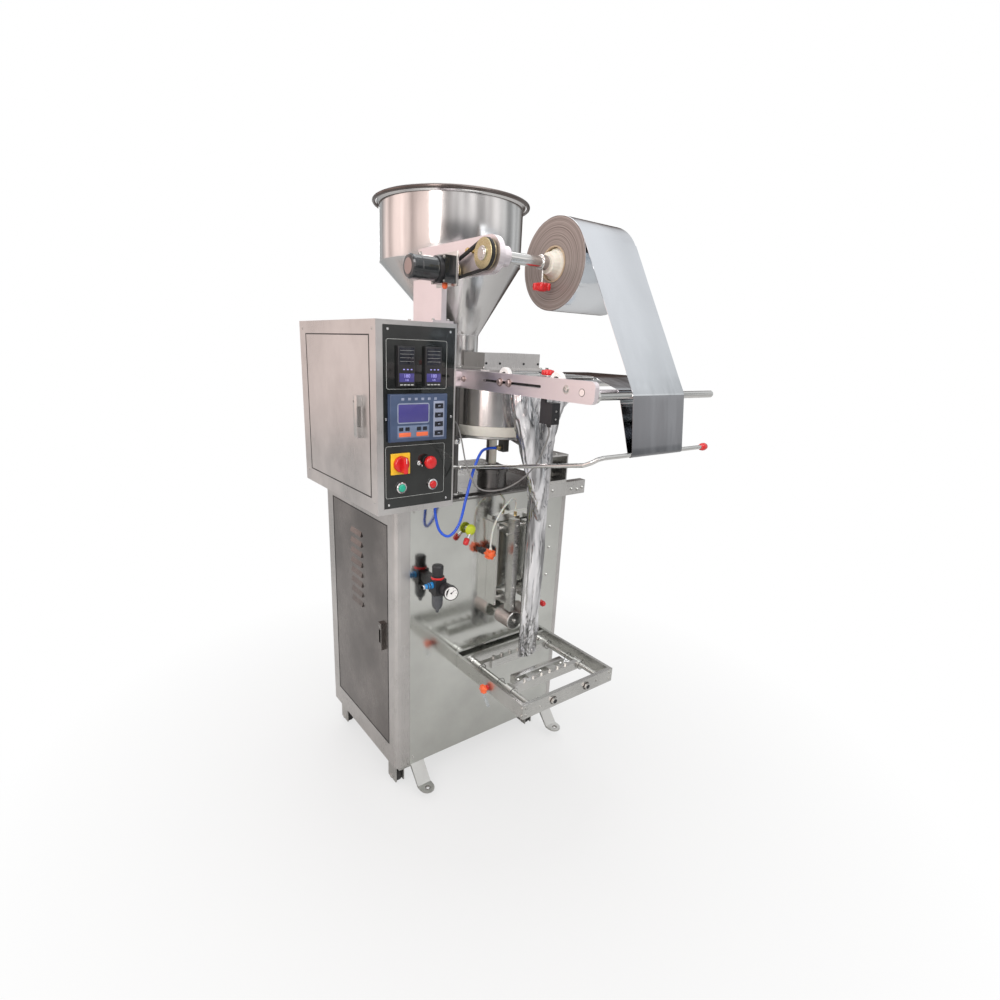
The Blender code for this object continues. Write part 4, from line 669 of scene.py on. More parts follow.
like([
    lofted(about(*DISC, (151.3, 1152), (151.6, 1152.3), (151.6, 1298.5), (151.3, 1298.8), (151.1, 1298.8),
        (151.1, 1152)), SPUN, 160)
], "drum_band", "feeder_drum")
like(lofted(about(*DISC, (155.1, 1125), (156, 1126.2), (156, 1150.2), (154.8, 1151.6), (153, 1151.7),
    (153, 1151.2), (154.9, 1150), (154.9, 1125)), CREAM, 160), "disc_edge", "metering_disc")
like([
    lofted(about(*DISC, (150.8, 1117.2), (151.6, 1118), (151.6, 1122.8), (150.8, 1123.6), (150.3, 1123.6),
        (150.3, 1117.2)), MACHINED, 128),
    *[turned((x, y, 1099), UP, [(13.5, 0), (14, 1), (14, 11), (13, 12)], POLISHED, 32) for x, y in POSTS],
    *screws([(x, y, 948.5) for x, y in POSTS], UP, 15.5, 6, POLISHED, washer=False),
    *screws([(226, 214, 948), (542, 214, 948), (240, 33, 948), (530, 33, 948)], UP, 4.5, 5)
], "stand_fittings", "feeder_stand")
like([
    *screws([(x, y, 1308.3)
        for x, y in ((222, 30), (548, 30), (291, 232), (479, 232), (250, 146), (520, 120))], UP, 5, 5.5,
        SCREW, True),
    *screws([(319.8, -22.3, 1325), (407.2, -22.3, 1325), (272, -22.3, 1325), (462, -22.3, 1325)], FORE,
        3.2, 1.2, BLACKENED, washer=False),
    *screws([(262, -26, 1313), (470, -26, 1313), (470, 80, 1313), (262, 80, 1313)], UP, 3.2, 3)
], "deck_screws", "feeder_cover")

# Shaft bearing under the disc, in the steel darkened as painted shade.
like([
    lofted(about(*DISC, (56, 942.3), (56, 949), (47, 950), (45.5, 996), (51.5, 997.5), (51.5, 1007.5),
        (49.5, 1009.5), (24, 1010), (22, 1020), (14.5, 1020.5), (14.5, 942.3)), SHADED_STEEL, 64),
    *screws(circle_of(*DISC, 1009.5, 37.5, 0.4, 1.45, 2.5, 3.54, 4.59, 5.64), UP, 4.2, 4.5, SCREW, True)
], "shaft_bearing", "table_plate")

# ---- film roll, core and spindle
like([sleeve_x(104.6, 40.5, FILM_X0, FILM_X1, WOUND, 160)], "wound_film", "film_roll", True)
like([sleeve_x(105.1, 104, FILM_X0 + 0.4, FILM_X1 - 0.4, FILM, 160)], "roll_outer_turn", "film_roll")
like([sleeve_x(40.7, 37.7, FILM_X0 - 2, FILM_X1 + 2, CARD, 96)], "roll_core", "film_roll")
spin = (0, *AXIS)
like([
    turned(spin, RIGHT, [(9.2, 96), (10, 96.8), (10, 113.5), (12.5, 114), (12.5, 267.2), (15.8, 268),
        (17, 269.2), (17, 288.8), (15.8, 290), (8, 290.2), (8, 563.5), (6.8, 564.8)], POLISHED, 64),
    sleeve_x(13.5, 8.5, 514.2, 520, POLISHED, 48),
    rod((279, AXIS_Y, AXIS_Z - 12), (279, AXIS_Y, AXIS_Z - 46), 2.5, POLISHED)
], "spindle_shaft", "unwind_spindle", True)
like([
    sleeve_x(32, 10, 100, 102, ZINC, 80),
    sleeve_x(28, 10, 101.8, 112.2, ZINC, 80),
    sleeve_x(32, 10, 112, 114, ZINC, 80),
    sleeve_x(15, 9.8, 96.8, 100.2, POLISHED, 48)
], "spindle_pulley", "unwind_spindle")
like(star_knob((279, AXIS_Y, AXIS_Z - 45), DOWN, 21.5, 18, RED, 4), "clamp_knob", "unwind_spindle")
like([
    turned((0, *MOTOR_AT), RIGHT, [(17.2, 100), (18.3, 100.4), (18.3, 101.8), (14, 102.6)], ZINC, 48),
    turned((0, *MOTOR_AT), RIGHT, [(14, 111.4), (18.3, 112.2), (18.3, 113.6), (8, 114.1), (7, 115.8),
        (5, 116)], ZINC, 48)
], "motor_pulley_rims", "motor_pulley")

# motor: end cap, flange plate, screws and gland
flange = block(92.5, 97.1, MOTOR_Y - 34.4, MOTOR_Y + 55.4, MOTOR_Z - 34.4, MOTOR_Z + 40.4, SHEET, 0.8)
like([
    flange,
    turned((-17.2, *MOTOR_AT), RIGHT, [(20.5, 0), (24, 1), (26.8, 4.5), (26.8, 10), (26.2, 10.6)], MOTOR,
        64),
    turned((-17, *MOTOR_AT), LEFT, [(17, 0), (17, 0.6), (12, 1.2)], CAP, 48),
    *[turned((x, *MOTOR_AT), RIGHT, [(26.6, 0), (27, 0.4), (27, 1.6), (26.6, 2)], MOTOR, 64)
        for x in (8, 48)],
    turned((53.2, *MOTOR_AT), RIGHT, [(29, 0), (29.4, 0.6), (29.4, 9.6), (29, 10)], BLACK, 64),
    *screws([(63.4, MOTOR_Y + a, MOTOR_Z + b) for a in (-25, 25) for b in (-25, 25)], LEFT, 2.6, 3.5),
    *screws([(97.1, MOTOR_Y + a, MOTOR_Z + b) for a, b in ((-29, -29), (29, -29), (-29, 29))], RIGHT, 3.2,
        1.8, washer=False),
    turned((78, MOTOR_Y - 6, MOTOR_Z - 30), DOWN, [(6.2, 0), (6.8, 1), (6.8, 6), (4.5, 10), (3, 11)],
        ORANGE, 24)
], "motor_fittings", "unwind_motor")
like([
    *screws([(117.8, AXIS_Y + 60, AXIS_Z + 14), (117.8, AXIS_Y + 82, AXIS_Z + 14)], LEFT, 6, 5, BRASS,
        True),
    *screws([(117.8, 74, AXIS_Z + 28), (117.8, 74, AXIS_Z - 28)], LEFT, 4.5, 4.5),
    *screws([(100.5, -20, 1427.2), (100.5, 100, 1427.2), (145, -20, 1427.2), (145, 100, 1427.2)], UP, 4.2,
        4.5, SCREW, True),
    ring((165.2, *AXIS), RIGHT, 20, 1.2, POLISHED, 64, 8)
], "bracket_bolts", "unwind_bracket")

# ---- film beam fittings
BX = 185
like([
    *screws([(BX, -425, 1286.5)], LEFT, 6.2, 2.2),
    ring((BX, -472, 1283.8), LEFT, 7.8, 0.6, SHADED_RIM, 40, 8),
    turned((BX, -472, 1283.8), LEFT, [(7.2, 0), (7.2, 0.5)], SILVERED, 32),
    *screws([(BX, -231, 1286.5), (BX, -197, 1286.5)], LEFT, 8, 7, CAP, True),
    *screws([(BX, -42, 1284.5), (BX, 30, 1284.5)], LEFT, 6.2, 6.5, CAP, True),
    rod((222, -325, 1301), (222, -325, 1312), 3.5, POLISHED),
    star_knob((222, -325, 1311), UP, 15, 12, RED, 5),
    block(197.6, 230, -335, -315, 1293.5, 1302.5, POLISHED, 1),
    block(194.5, 196, -344, -126, 1283.5, 1289.5, RUBBER, 0.5)
], "beam_fittings", "film_beam")
like([
    turned((0, -495, 1277), RIGHT, [(13.5, 197.5), (14.3, 198.5), (14.3, 203.5), (8.8, 206.5),
        (8.3, 207.5), (8.3, 615), (7, 616.8)], POLISHED, 64)
], "front_bar", "guide_bar_front", True)
for name, y in (("infeed_roller", -194), ("top_roller", -379)):
    like([
        sleeve_x(22, 11.4, 197.6, 209.6, WHITE, 64, 2, y, 1300),
        sleeve_x(11.2, 4.4, 209.4, 509, POLISHED, 64, y=y, z=1300)
    ], name + "_tube", name, True)
like([
    turned((577.8, -513, 1150), RIGHT, [(5.2, 0), (8, 3), (9.5, 9), (9.5, 15), (7.8, 21), (4, 24.2)], RED,
        40, 60)
], "dancer_knob", "dancer_arm")
like([
    sleeve_x(11.9, 4.5, 188.4, 203.6, MACHINED, 48, y=35, z=1030),
    rod((196, -20, 1040.2), (196, -30, 1042.1), 6.4, POLISHED)
], "dancer_hub", "dancer_arm")
like([
    *screws([(210, -374.2, 1234), (210, -374.2, 1216)], FORE, 2.2, 1.2, washer=False),
    *screws([(200.6, -342.5, 1266), (200.6, -342.5, 1278)], RIGHT, 2.8, 2.2),
    turned((210, -354, 1206), DOWN, [(5.8, 0), (5.8, 3), (4, 9.8)], BLACK, 24),
    turned((222.1, -354, 1228), RIGHT, [(6, 0), (6, 0.8), (4.8, 0.9), (4.6, 0.3)], SILVERED, 28)
], "photo_eye_fittings", "photo_eye")

# ---- control panel
P = PANEL_Y
like([
    outline(-48, 125, 1260, 1378, P, 0.8, PRINT),
    outline(-52, 123, 985, 1120, P, 0.8, PRINT)
], "panel_lines", "control_panel")
like(screws([(134, P, 1400), (-44, P, 1400), (130, P, 968), (-44, P, 968), (-50, P, 1188), (141, P, 1188)],
    FORE, 3, 2, SILVERED, washer=False), "panel_screws", "control_panel")
plate = block(-38.5, 16.5, P - 4.6, P - 0.2, 1046.5, 1101.5, YELLOW, 1.6, 3)
like([
    plate,
    turned((-11, P - 4.6, 1074), FORE, [(24, 0), (23.6, 0.3)], YELLOW, 48)
], "switch_plate", "control_panel")
like([
    turned((-11, P - 4.4, 1074), FORE, [(20.4, 0), (21.2, 1), (21.2, 7), (19, 11.2), (18, 11.5)], RED, 64,
        50),
    block(-16.8, -5.2, P - 34.8, P - 10, 1053.2, 1094.8, RED, 2.8, 4),
    block(-11.8, -10.2, P - 35.1, P - 34, 1080, 1093, WHITE, 0.3)
], "switch_grip", "main_switch_knob")
for name, bx in (("start_button", -8), ("stop_button", 86)):
    like(lofted(about(bx, 0, (14.5, 0), (15, 1), (14.8, 4.5), (12.8, 6.2), (10.8, 6), (10.6, 0)), SILVERED,
        64), name + "_bezel", "control_panel")
    bezel = bpy.context.view_layer.objects[name + "_bezel"]
    turn = Matrix.Rotation(math.radians(90), 4, "X") @ Matrix.Translation(-at(0, 0, 0))
    bezel.data.transform(Matrix.Translation(spot(0, P - 0.3, 1011)) @ turn)
like([
    turned((-8, P - 6, 1011), FORE, [(9.8, 0), (9.8, 1.8), (8.8, 3.4), (5, 4)], GREEN, 48, 50)
], "start_lens", "start_button")
like([
    turned((86, P - 6, 1011), FORE, [(9.8, 0), (9.8, 1.8), (8.8, 3.4), (5, 4)], RED, 48, 50)
], "stop_lens", "stop_button")
like([
    turned((70, P - 11, 1074), FORE, [(15, 0), (16.6, 2), (17.2, 6), (16.8, 10), (14, 14.2), (8, 15.8),
        (3, 16.1)], RED, 64, 60)
], "stop_mushroom", "emergency_stop_button")
like([
    turned((70, P, 1074), FORE, [(14.8, 0), (15.2, 0.8), (15.2, 4), (14, 5)], BLACK, 48)
], "mushroom_collar", "control_panel")
like([
    turned((44, P, 1072), FORE, [(6.2, 0), (6.2, 3), (4.6, 3.4), (4.6, 7), (3, 7.4)], SILVERED, 24),
    rod((44, P - 6, 1072), (44, P - 19, 1067), 1.9, SILVERED)
], "toggle_switch", "control_panel")

for side, tx in (("left", 3), ("right", 80)):
    y = P - 8
    parts = [block(tx - 23.8, tx + 23.8, y - 2.2, y + 0.4, 1315.2 + 0.6 - 48, 1315.2 + 47.4, BLACK, 1.6, 3),
             block(tx - 20.5, tx + 20.5, y - 2.7, y - 1.8, 1319, 1359, DARK_FACE, 0.4),
             block(tx - 20.5, tx + 20.5, y - 2.9, y - 1.8, 1278, 1298.5, DISPLAY, 0.4)]
    for k in range(4):
        parts.append(block(tx - 19, tx + 19, y - 3, y - 2.6, 1326.5 + 8.5 * k, 1326.9 + 8.5 * k, PRINT, 0))
    for k in range(3):
        parts.append(block(tx - 10.5 + 10.5 * k, tx - 6 + 10.5 * k, y - 3.3, y - 2.4, 1306.5, 1309,
            SEGMENTS, 0.3))
    for k in range(4):
        parts.append(block(tx - 18.5 + 10 * k, tx - 11.5 + 10 * k, y - 3.4, y - 2, 1270, 1272.5, PRINT,
            0.3))
    parts.append(figures("180", tx, y - 3.1, 1292.2, 8.5, SEGMENTS))
    parts.append(figures("145", tx, y - 3.1, 1282.6, 5, SEGMENTS))
    like(parts, "temperature_face_" + side, "temperature_controller_" + side)

y = P - 10
hx0, hx1, hz0, hz1 = -45, 122, 1131, 1249
like([
    block(hx0 + 0.5, hx1 - 0.5, y - 3, y + 0.4, hz0 + 0.5, hz1 - 0.5, BLUE_BOX, 2.2, 3),
    outline(hx0 + 20, hx0 + 112, hz0 + 46, hz0 + 96, y - 3, 2.8, KEY_FIELD),
    block(hx0 + 23, hx0 + 109, y - 3.6, y - 2.2, hz0 + 49, hz0 + 93, DISPLAY, 0.6),
    block(hx0 + 20, hx0 + 112, y - 3.6, y - 2.2, hz0 + 10, hz0 + 41, BLUE_KEYS, 0.8),
    block(hx0 + 124, hx0 + 157, y - 3.6, y - 2.2, hz0 + 8, hz0 + 100, KEY_FIELD, 0.8),
    *[block(hx0 + 128, hx0 + 153, y - 5, y - 3, hz0 + 12 + 23 * k, hz0 + 25 + 23 * k, DARK_FACE, 1.2, 3)
        for k in range(4)],
    *[block(hx0 + 137, hx0 + 144, y - 5.3, y - 4.6, hz0 + 17.5 + 23 * k, hz0 + 19.5 + 23 * k, KEY_FIELD,
        0.2) for k in range(4)],
    *[block(hx0 + x, hx0 + x + 34, y - 4.6, y - 3, hz0 + 13, hz0 + 23.5, RED_KEY, 1, 3) for x in (24, 74)],
    *[block(hx0 + x + 18 * k, hx0 + x + 12 + 18 * k, y - 4.6, y - 3, hz0 + 27.5, hz0 + 37, DARK_FACE, 1, 3)
        for x in (24, 75) for k in range(2)],
    *[block(hx0 + 31 + 19 * k, hx0 + 39 + 19 * k, y - 3.4, y - 2.6, hz0 + 103, hz0 + 109, KEY_FIELD, 0.6)
        for k in range(6)]
], "cycle_face", "cycle_controller")

# ---- boxes, doors and panels
like([
    *[turned((-75.2, y, z), LEFT, [(3.6, 0), (3.6, 0.6), (3, 0.8)], SCREW, 20) for y in (-30, 430)
        for z in (975, 1400)],
    *screws([(x, 454.2, z) for x in (-60, 139) for z in (960, 1190, 1405)], AFT, 3.4, 1.6, washer=False),
    *[block(-20 + 26 * k, -2 + 26 * k, 453.8, 456, 1320, 1326, BLACKENED, 0.6) for k in range(5)],
    turned((40, 454, 1000), AFT, [(13, 0), (13, 4), (10, 5), (9, 16), (7, 18)], BLACK, 24)
], "box_fittings", "control_box")
like([
    block(-89.2, -88.5, 34.5, 53.5, 1134.5, 1237.5, SHEET, 0.3),
    turned((-88.6, 50.5, 1224), LEFT, [(4.4, 0), (4.4, 0.8), (3.8, 1)], SCREW, 20),
    # Dark plate for the latch slot: painted shade in the recess.
    block(-89.7, -89.1, 49.5, 51.5, 1221.5, 1226.5, BLACKENED, 0.2)
], "box_door_latch", "control_box_door")
like([
    turned((-10, 82, 556), LEFT, [(4.4, 0), (4.4, 1), (3.6, 1.3)], SCREW, 20),
    # Dark plate for the keyway: painted shade in the recess.
    block(-11.8, -10.8, 81, 83, 553.5, 558.5, BLACKENED, 0.2)
], "cabinet_door_lock", "cabinet_door")
like([
    *screws([(x, 485.2, z) for x in (12, 640) for z in (130, 520, 900)], AFT, 3.6, 2, washer=False)
], "frame_screws", "cabinet_frame")
like([
    *screws([(584.2, 0, 799.7), (587.8, 0, 725.6), (583.9, 0, 626.5)], FORE, 4.6, 4, SCREW, True),
    *screws([(x, 0, z) for x in (60, 617) for z in (110, 922)], FORE, 3, 1.8, washer=False),
    turned((215, 0, 831), FORE, [(5, 0), (5, 2), (3.6, 2.6)], SCREW, 20),
    turned((545, 0, 540), FORE, [(8, 0), (8, 3), (4.5, 4), (4.5, 20)], SILVERED, 24),
    turned((545, -19, 540), FORE, [(7.5, 0), (9.8, 2), (9.8, 19), (7, 24), (3, 25)], RED, 32, 50)
], "front_panel_screws", "front_panel")
like([
    *screws([(x, 485.2, z) for x in (50, 325, 600) for z in (120, 895)] + [(50, 485.2, 508),
        (600, 485.2, 508)], AFT, 3.6, 2, washer=False),
    *[block(230, 420, 484.8, 488.5, 620 + 26 * k, 627.5 + 26 * k, SHEET, 1.6, 3) for k in range(7)]
], "back_panel_fittings", "back_panel")
like([
    *screws([(693, -6, 918), (715, -6, 922), (665, -6, 922)], FORE, 5, 4.5, SCREW, True),
    *screws([(578, -6, 925)], FORE, 4.6, 4, SCREW, True),
    *screws([(608, 83, 1040), (608, 20, 1040)], UP, 3.6, 3),
    block(590, 626, 70, 82, 960, 1000, BLACK, 1)
], "corner_bolts", "corner_bracket")
for f in CORNERS:
    fx = FOOT_X + FOOT_PITCH if "right" in f else FOOT_X
    wheel_y = 55 if "front" in f else 430
    lug_y = -62 if "front" in f else 547
    like([
        *screws([(fx + 3.5, wheel_y, 21)], LEFT, 7, 5, SCREW, True),
        *screws([(fx + 34.5, wheel_y, 21)], RIGHT, 7, 5, SCREW, True),
        ring((fx + 66, lug_y + (-4 if "front" in f else 4), 32.1), UP, 7.8, 0.8, SHADED_RIM, 40, 8)
    ], "foot_bolts_" + f, "foot_" + f)
    like([
        turned((fx + 19 - 10, wheel_y, 21), LEFT, [(12, 0), (12, 0.6), (9, 1)], MACHINED, 40),
        turned((fx + 19 + 10, wheel_y, 21), RIGHT, [(12, 0), (12, 0.6), (9, 1)], MACHINED, 40),
        sleeve_x(21, 19, fx + 13, fx + 25, TREAD, 64, y=wheel_y, z=21)
    ], "castor_tread_" + f, "castor_wheel_" + f)

# Dark strips round the doors: painted shadow of the door gaps.
for name, door, wall in (("cabinet_door_seal", "cabinet_door", 0.0),
        ("box_door_seal", "control_box_door", -0.075)):
    lo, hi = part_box(door)
    like(gap_shadow_outline(lo.y - FACE_Y - 0.0012, hi.y - FACE_Y + 0.0012, lo.z - 0.0012, hi.z + 0.0012, wall,
        0.0030), name, "cabinet_frame" if wall == 0.0 else "control_box")

# ---- air fittings
rx, ry = 110, -48
gauge, dial = Vector((rx + 16.5, ry - 40, 700.5)), Vector((-0.30, -0.95, 0.06)).normalized()
across = dial.cross(Vector(UP)).normalized()
up = across.cross(dial)
like([
    turned((rx, ry, 731), UP, [(18.8, 0), (19.4, 1), (19.4, 7), (18.4, 8)], RED, 48),
    turned((rx, ry, 739), UP, [(15.8, 0), (15.8, 1), (16.8, 29), (14, 33), (10, 33.5)], BLACK, 16, 15),
    turned(gauge, dial, [(18, -6), (20.8, -4), (21.4, 0), (21.4, 12.5), (19.6, 13.8), (18.8, 12.4)], BLACK,
        64),
    turned(gauge, dial, [(18.8, 12.2), (18.8, 12.8)], WHITE, 64),
    *[turned(gauge + dial * 12.7 + (up * math.cos(t) + across * math.sin(t)) * 15, dial,
        [(0.9, 0), (0.9, 0.4)], BLACK, 8) for t in (-2.2, -1.6, -1.0, -0.4, 0.4, 1.0, 1.6, 2.2)],
    rod(gauge + dial * 13.4, gauge + dial * 13.4 + up * 8 - across * 9, 0.8, BLACK, 8),
    turned(gauge + dial * 12.7, dial, [(2.6, 0), (2.2, 1.4)], BLACK, 20),
    turned((rx, ry, 689.5), DOWN, [(17.2, 0), (17.2, 9), (16.6, 38), (13, 48), (6, 56), (4.6, 64)], BOWL,
        48),
    turned((rx, ry, 690), DOWN, [(18, 0), (18.6, 1), (18.6, 6), (17.6, 7)], BLACK, 48),
    turned((rx - 18, ry, 714), LEFT, [(9.6, -4), (9.8, 0), (9.8, 6), (8.6, 8), (9.2, 15), (7, 17),
        (6.8, 27)], CYAN, 32),
    turned((rx - 45, ry, 714), LEFT, [(7, 0), (7, 4), (5.2, 7)], SILVERED, 32)
], "regulator_fittings", "air_regulator")
nx, nz = 302, 766
like([
    turned((nx, -0.2, nz), FORE, [(10, 0), (10.4, 1), (10.4, 7), (6.4, 10), (6.4, 28)], BLACK, 32),
    star_knob((nx, -29, nz), FORE, 16.8, 24, ORANGE, 6),
    turned((nx, -42, nz + 8), UP, [(4.8, 0), (4.8, 11), (3.8, 13.8)], CREAM, 20)
], "nozzle_grip", "nozzle_knob", True)
like([
    turned((244, -0.3, 846), FORE, [(9, 0), (9, 12)], SILVERED, 32),
    turned((244, -12, 846), FORE, [(16.5, 0), (17.4, 1), (16.8, 6), (12, 11), (6, 13.8)], VALVE, 48, 50),
    rod((244, -16, 840), (221, -26, 816), 4.8, SILVERED),
    turned((227.5, -23.2, 824.5), (-0.52, -0.22, -0.80),
        [(6.6, 0), (8.6, 2), (8.6, 16), (6.6, 20), (4, 21.5)], RED, 32, 50)
], "valve_parts", "throttle_valve", True)
like([
    turned((313.5, -32, 1090), LEFT, [(6.6, -12), (7, -11), (7, -3), (5.6, 0), (5.6, 1.8)], BRASS, 24)
], "nozzle_block_fitting", "feeder_stand")

# ---- vertical sealing
for side, sgn in (("left", -1), ("right", 1)):
    near, far = MID + sgn * 32.5, MID + sgn * 52.5
    x0, x1 = min(near, far), max(near, far)
    like([
        *screws([((x0 + x1) / 2, -92.2, z) for z in (600, 662, 800, 862)], FORE, 3.6, 3),
        block(min(near, near + sgn * 3), max(near, near + sgn * 3), -91.5, -63, 584, 878, HEATED, 0.5),
        turned((far + sgn * 14, -77, 835), (sgn, 0, 0), [(4.2, 0), (4.2, 2.2)], SILVERED, 20)
    ], "seal_bar_fittings_" + side, "seal_bar_" + side)
like([
    *screws([(x, -44.5, z) for x in (326, 479) for z in (600, 852)], FORE, 3, 2.4, washer=False),
    rod((492.5, -34, 608), (511.3, -34, 608), 10.3, RED, 40, 1.4),
    rod((MID, -30, 870), (MID, -30, 885.8), 5, BRASS, 24)
], "rail_fittings", "seal_rails")
for side, sgn in (("left", -1), ("right", 1)):
    px = MID + sgn * 29.3
    like([
        *[turned((px, -90 + 3.5 + 5.2 * k, 545), AFT, [(28.8, 0), (29.2, 0.6), (29.2, 2.6), (28.8, 3.2)],
            CAP, 64) for k in range(12)],
        hex_bolt((px, -94, 545), FORE, 5.5, 3)
    ], "pull_roller_rings_" + side, "pull_roller_" + side)

# ---- horizontal jaws
like([
    *[ring((x, -325.2, 404), FORE, 11.8, 1, SHADED_RIM, 40, 8) for x in (335, 470)],
    *[turned((x, -333.1, 404), FORE, [(7.4, 0), (7.2, 0.3)], BLACKENED, 6, 10) for x in (335, 470)],
    *screws([(287, -325, 400), (516, -325, 406), (232, -325, 415), (232, -325, 393), (574, -325, 415),
        (574, -325, 393)], FORE, 4.2, 2.2, washer=False),
    *screws([(585, -319, 392), (585, -319, 416)], RIGHT, 4.4, 3, washer=False),
    *screws([(220, -319, 392), (220, -319, 416)], LEFT, 4.4, 3, washer=False),
    *[turned((x, -50, 404), AFT, [(12.6, 0), (13.4, 1), (13.4, 7), (12.2, 9), (12.2, 13), (13.4, 15),
        (13.4, 24)], POLISHED, 48) for x in (262, 543)],
    *[turned((x, -313.5, 404), AFT, [(11.8, 0), (12.4, 0.8), (12.4, 6), (11.6, 7)], BLACKENED, 40)
        for x in (262, 543)]
], "jaw_frame_bolts", "jaw_frame")
like([
    turned((219.8, -160, 395), LEFT, [(9, 0), (9, 4), (7, 5), (7, 8)], RED, 32),
    star_knob((212, -160, 395), LEFT, 14, 13, ORANGE, 6),
    turned((206, -160, 383), (0.25, -0.35, -1), [(4.5, 0), (4.5, 18), (5.2, 19), (5.2, 46), (4.4, 47)],
        BOWL, 24)
], "jaw_air_fitting", "jaw_frame")
for jaw in ("front_jaw", "rear_jaw"):
    lo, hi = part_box(jaw)
    b0, b1 = (lo.y - FACE_Y) * MM, (hi.y - FACE_Y) * MM
    like([
        *[ring((x, b0 + 1.2, 404), AFT, 14.6, 0.8, BLACKENED, 40, 8) for x in (262, 543)],
        *[ring((x, b1 - 1.2, 404), AFT, 14.6, 0.8, BLACKENED, 40, 8)
            for x in (262, 543) if jaw == "front_jaw"]
    ], jaw + "_seals", jaw)
yc = -171
like([
    block(302, 503, yc - 21.6, yc - 3, 417.6, 419.2, MACHINED, 0.4),
    *[block(302 + 0.6, 503, yc - 0.6, yc + 0.3, 395 + 3.4 * k, 396.5 + 3.4 * k, MACHINED, 0)
        for k in range(6)],
    *screws([(x, yc - 21.6, 406) for x in (315, 360, 405, 450, 492)], FORE, 5.2, 4.5, POLISHED, True)
], "front_jaw_face", "front_jaw")

# ---- film web and sleeve
def fold(piece, name, size, stretch, depth, middle=0.5, way="NORMAL", where=""):
    """Folds pressed into a piece. stretch draws them out down the film."""
    deselect()
    bpy.ops.object.empty_add(location=(0, 0, 0))
    along = bpy.context.object
    along.scale = (1, 1, stretch)
    bpy.context.view_layer.update()
    pattern = bpy.data.textures.new(name, "CLOUDS")
    pattern.noise_scale, pattern.noise_depth = size, 1
    pick(piece)
    push = piece.modifiers.new(name, "DISPLACE")
    push.texture, push.strength, push.mid_level, push.direction = pattern, depth, middle, way
    push.texture_coords, push.texture_coords_object, push.vertex_group = "OBJECT", along, where
    bpy.ops.object.modifier_apply(modifier=name)
    bpy.data.objects.remove(along)


def divide(piece, levels, kind):
    pick(piece)
    more = piece.modifiers.new("divide", "SUBSURF")
    more.levels = more.render_levels = levels
    more.subdivision_type = kind
    bpy.ops.object.modifier_apply(modifier="divide")


web = copy_of("film_web")
edit(web)
bpy.ops.mesh.tris_convert_to_quads()
bpy.ops.mesh.subdivide(number_cuts=7)
leave()
fold(web, "web folds", 0.060, 3.0, 0.0012, way="Y")
join([settle(web, FILM, 60)], "film_web_sheet")
web.data.materials.append(LOOP_FILM)
for face in web.data.polygons:
    if face.center.z < 1.274 and face.center.y < at(0, -0.499, 0).y:
        face.material_index = 1
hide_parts("film_web")
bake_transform(web)

sleeve = copy_of("film_sleeve")
edit(sleeve)
bpy.ops.mesh.select_all(action="DESELECT")
leave()
for face in sleeve.data.polygons:
    c = face.center
    back = -0.03 if c.z > 1.20 else (-0.10 if c.z > 1.08 else TUBE_Y)
    away = Vector((c.x - SIDE_X - FILM_MID, c.y - FACE_Y - back, 0)).normalized()
    face.select = face.normal.dot(away) < 0.35
pick(sleeve)
bpy.ops.object.mode_set(mode="EDIT")
bpy.ops.mesh.delete(type="FACE")
bpy.ops.mesh.select_all(action="SELECT")
bpy.ops.mesh.tris_convert_to_quads()
leave()

twist = lofted([(290, -150, 25.5, 1272), (294, -152, 28, 1240), (307, -156, 29, 1190),
    (324, -160, 28.5, 1130), (345, -160, 26.5, 1060), (364, -158, 23.5, 1000), (377, -155, 18.5, 965),
    (387, -152, 15, 945), (391, -149, 18.5, 922), (393, -148, 14, 900), (394, -146, 6, 885),
    (394, -146, 5.2, 885), (393, -148, 13, 900), (391, -149, 17.5, 922), (387, -150, 14, 945),
    (364, -158, 22.5, 1000), (324, -160, 27.5, 1130), (290, -150, 24.5, 1272)], CRUMPLED, 48)
for piece, rounds in ((sleeve, 2), (twist, 1)):
    divide(piece, rounds, "CATMULL_CLARK")
    divide(piece, 1, "SIMPLE")
    tight = piece.vertex_groups.new(name="tight")
    loose = piece.vertex_groups.new(name="loose")
    for vertex in piece.data.vertices:
        near = min(abs(vertex.co.z - z) for z in (0.935, 0.800, 0.452))
        behind = vertex.co.y - FACE_Y > TUBE_Y - 0.004 and vertex.co.z < 0.960
        tight.add([vertex.index], 0.0 if behind else max(0.16, 1.0 - near / 0.035), "REPLACE")
        loose.add([vertex.index], 0.12 if behind else 1.0, "REPLACE")
    fold(piece, "long folds", 0.012, 9.0, 0.0110, 0.38, where="loose")
    fold(piece, "slack folds", 0.012, 2.0, 0.0040, 0.45, where="loose")
    fold(piece, "crumples", 0.007, 1.0, 0.0110, 0.40, where="tight")
pick(sleeve)
wall = sleeve.modifiers.new("wall", "SOLIDIFY")
wall.thickness, wall.offset = 0.0005, -1
bpy.ops.object.modifier_apply(modifier="wall")
fin = block(MID - 0.4, MID + 0.4, -97.5, -84, 448, 870, CRUMPLED, 0.1, 1)
like([
    settle(sleeve, CRUMPLED, 75),
    settle(twist, CRUMPLED, 75),
    fin
], "film_sleeve_folded", "film_sleeve", True)

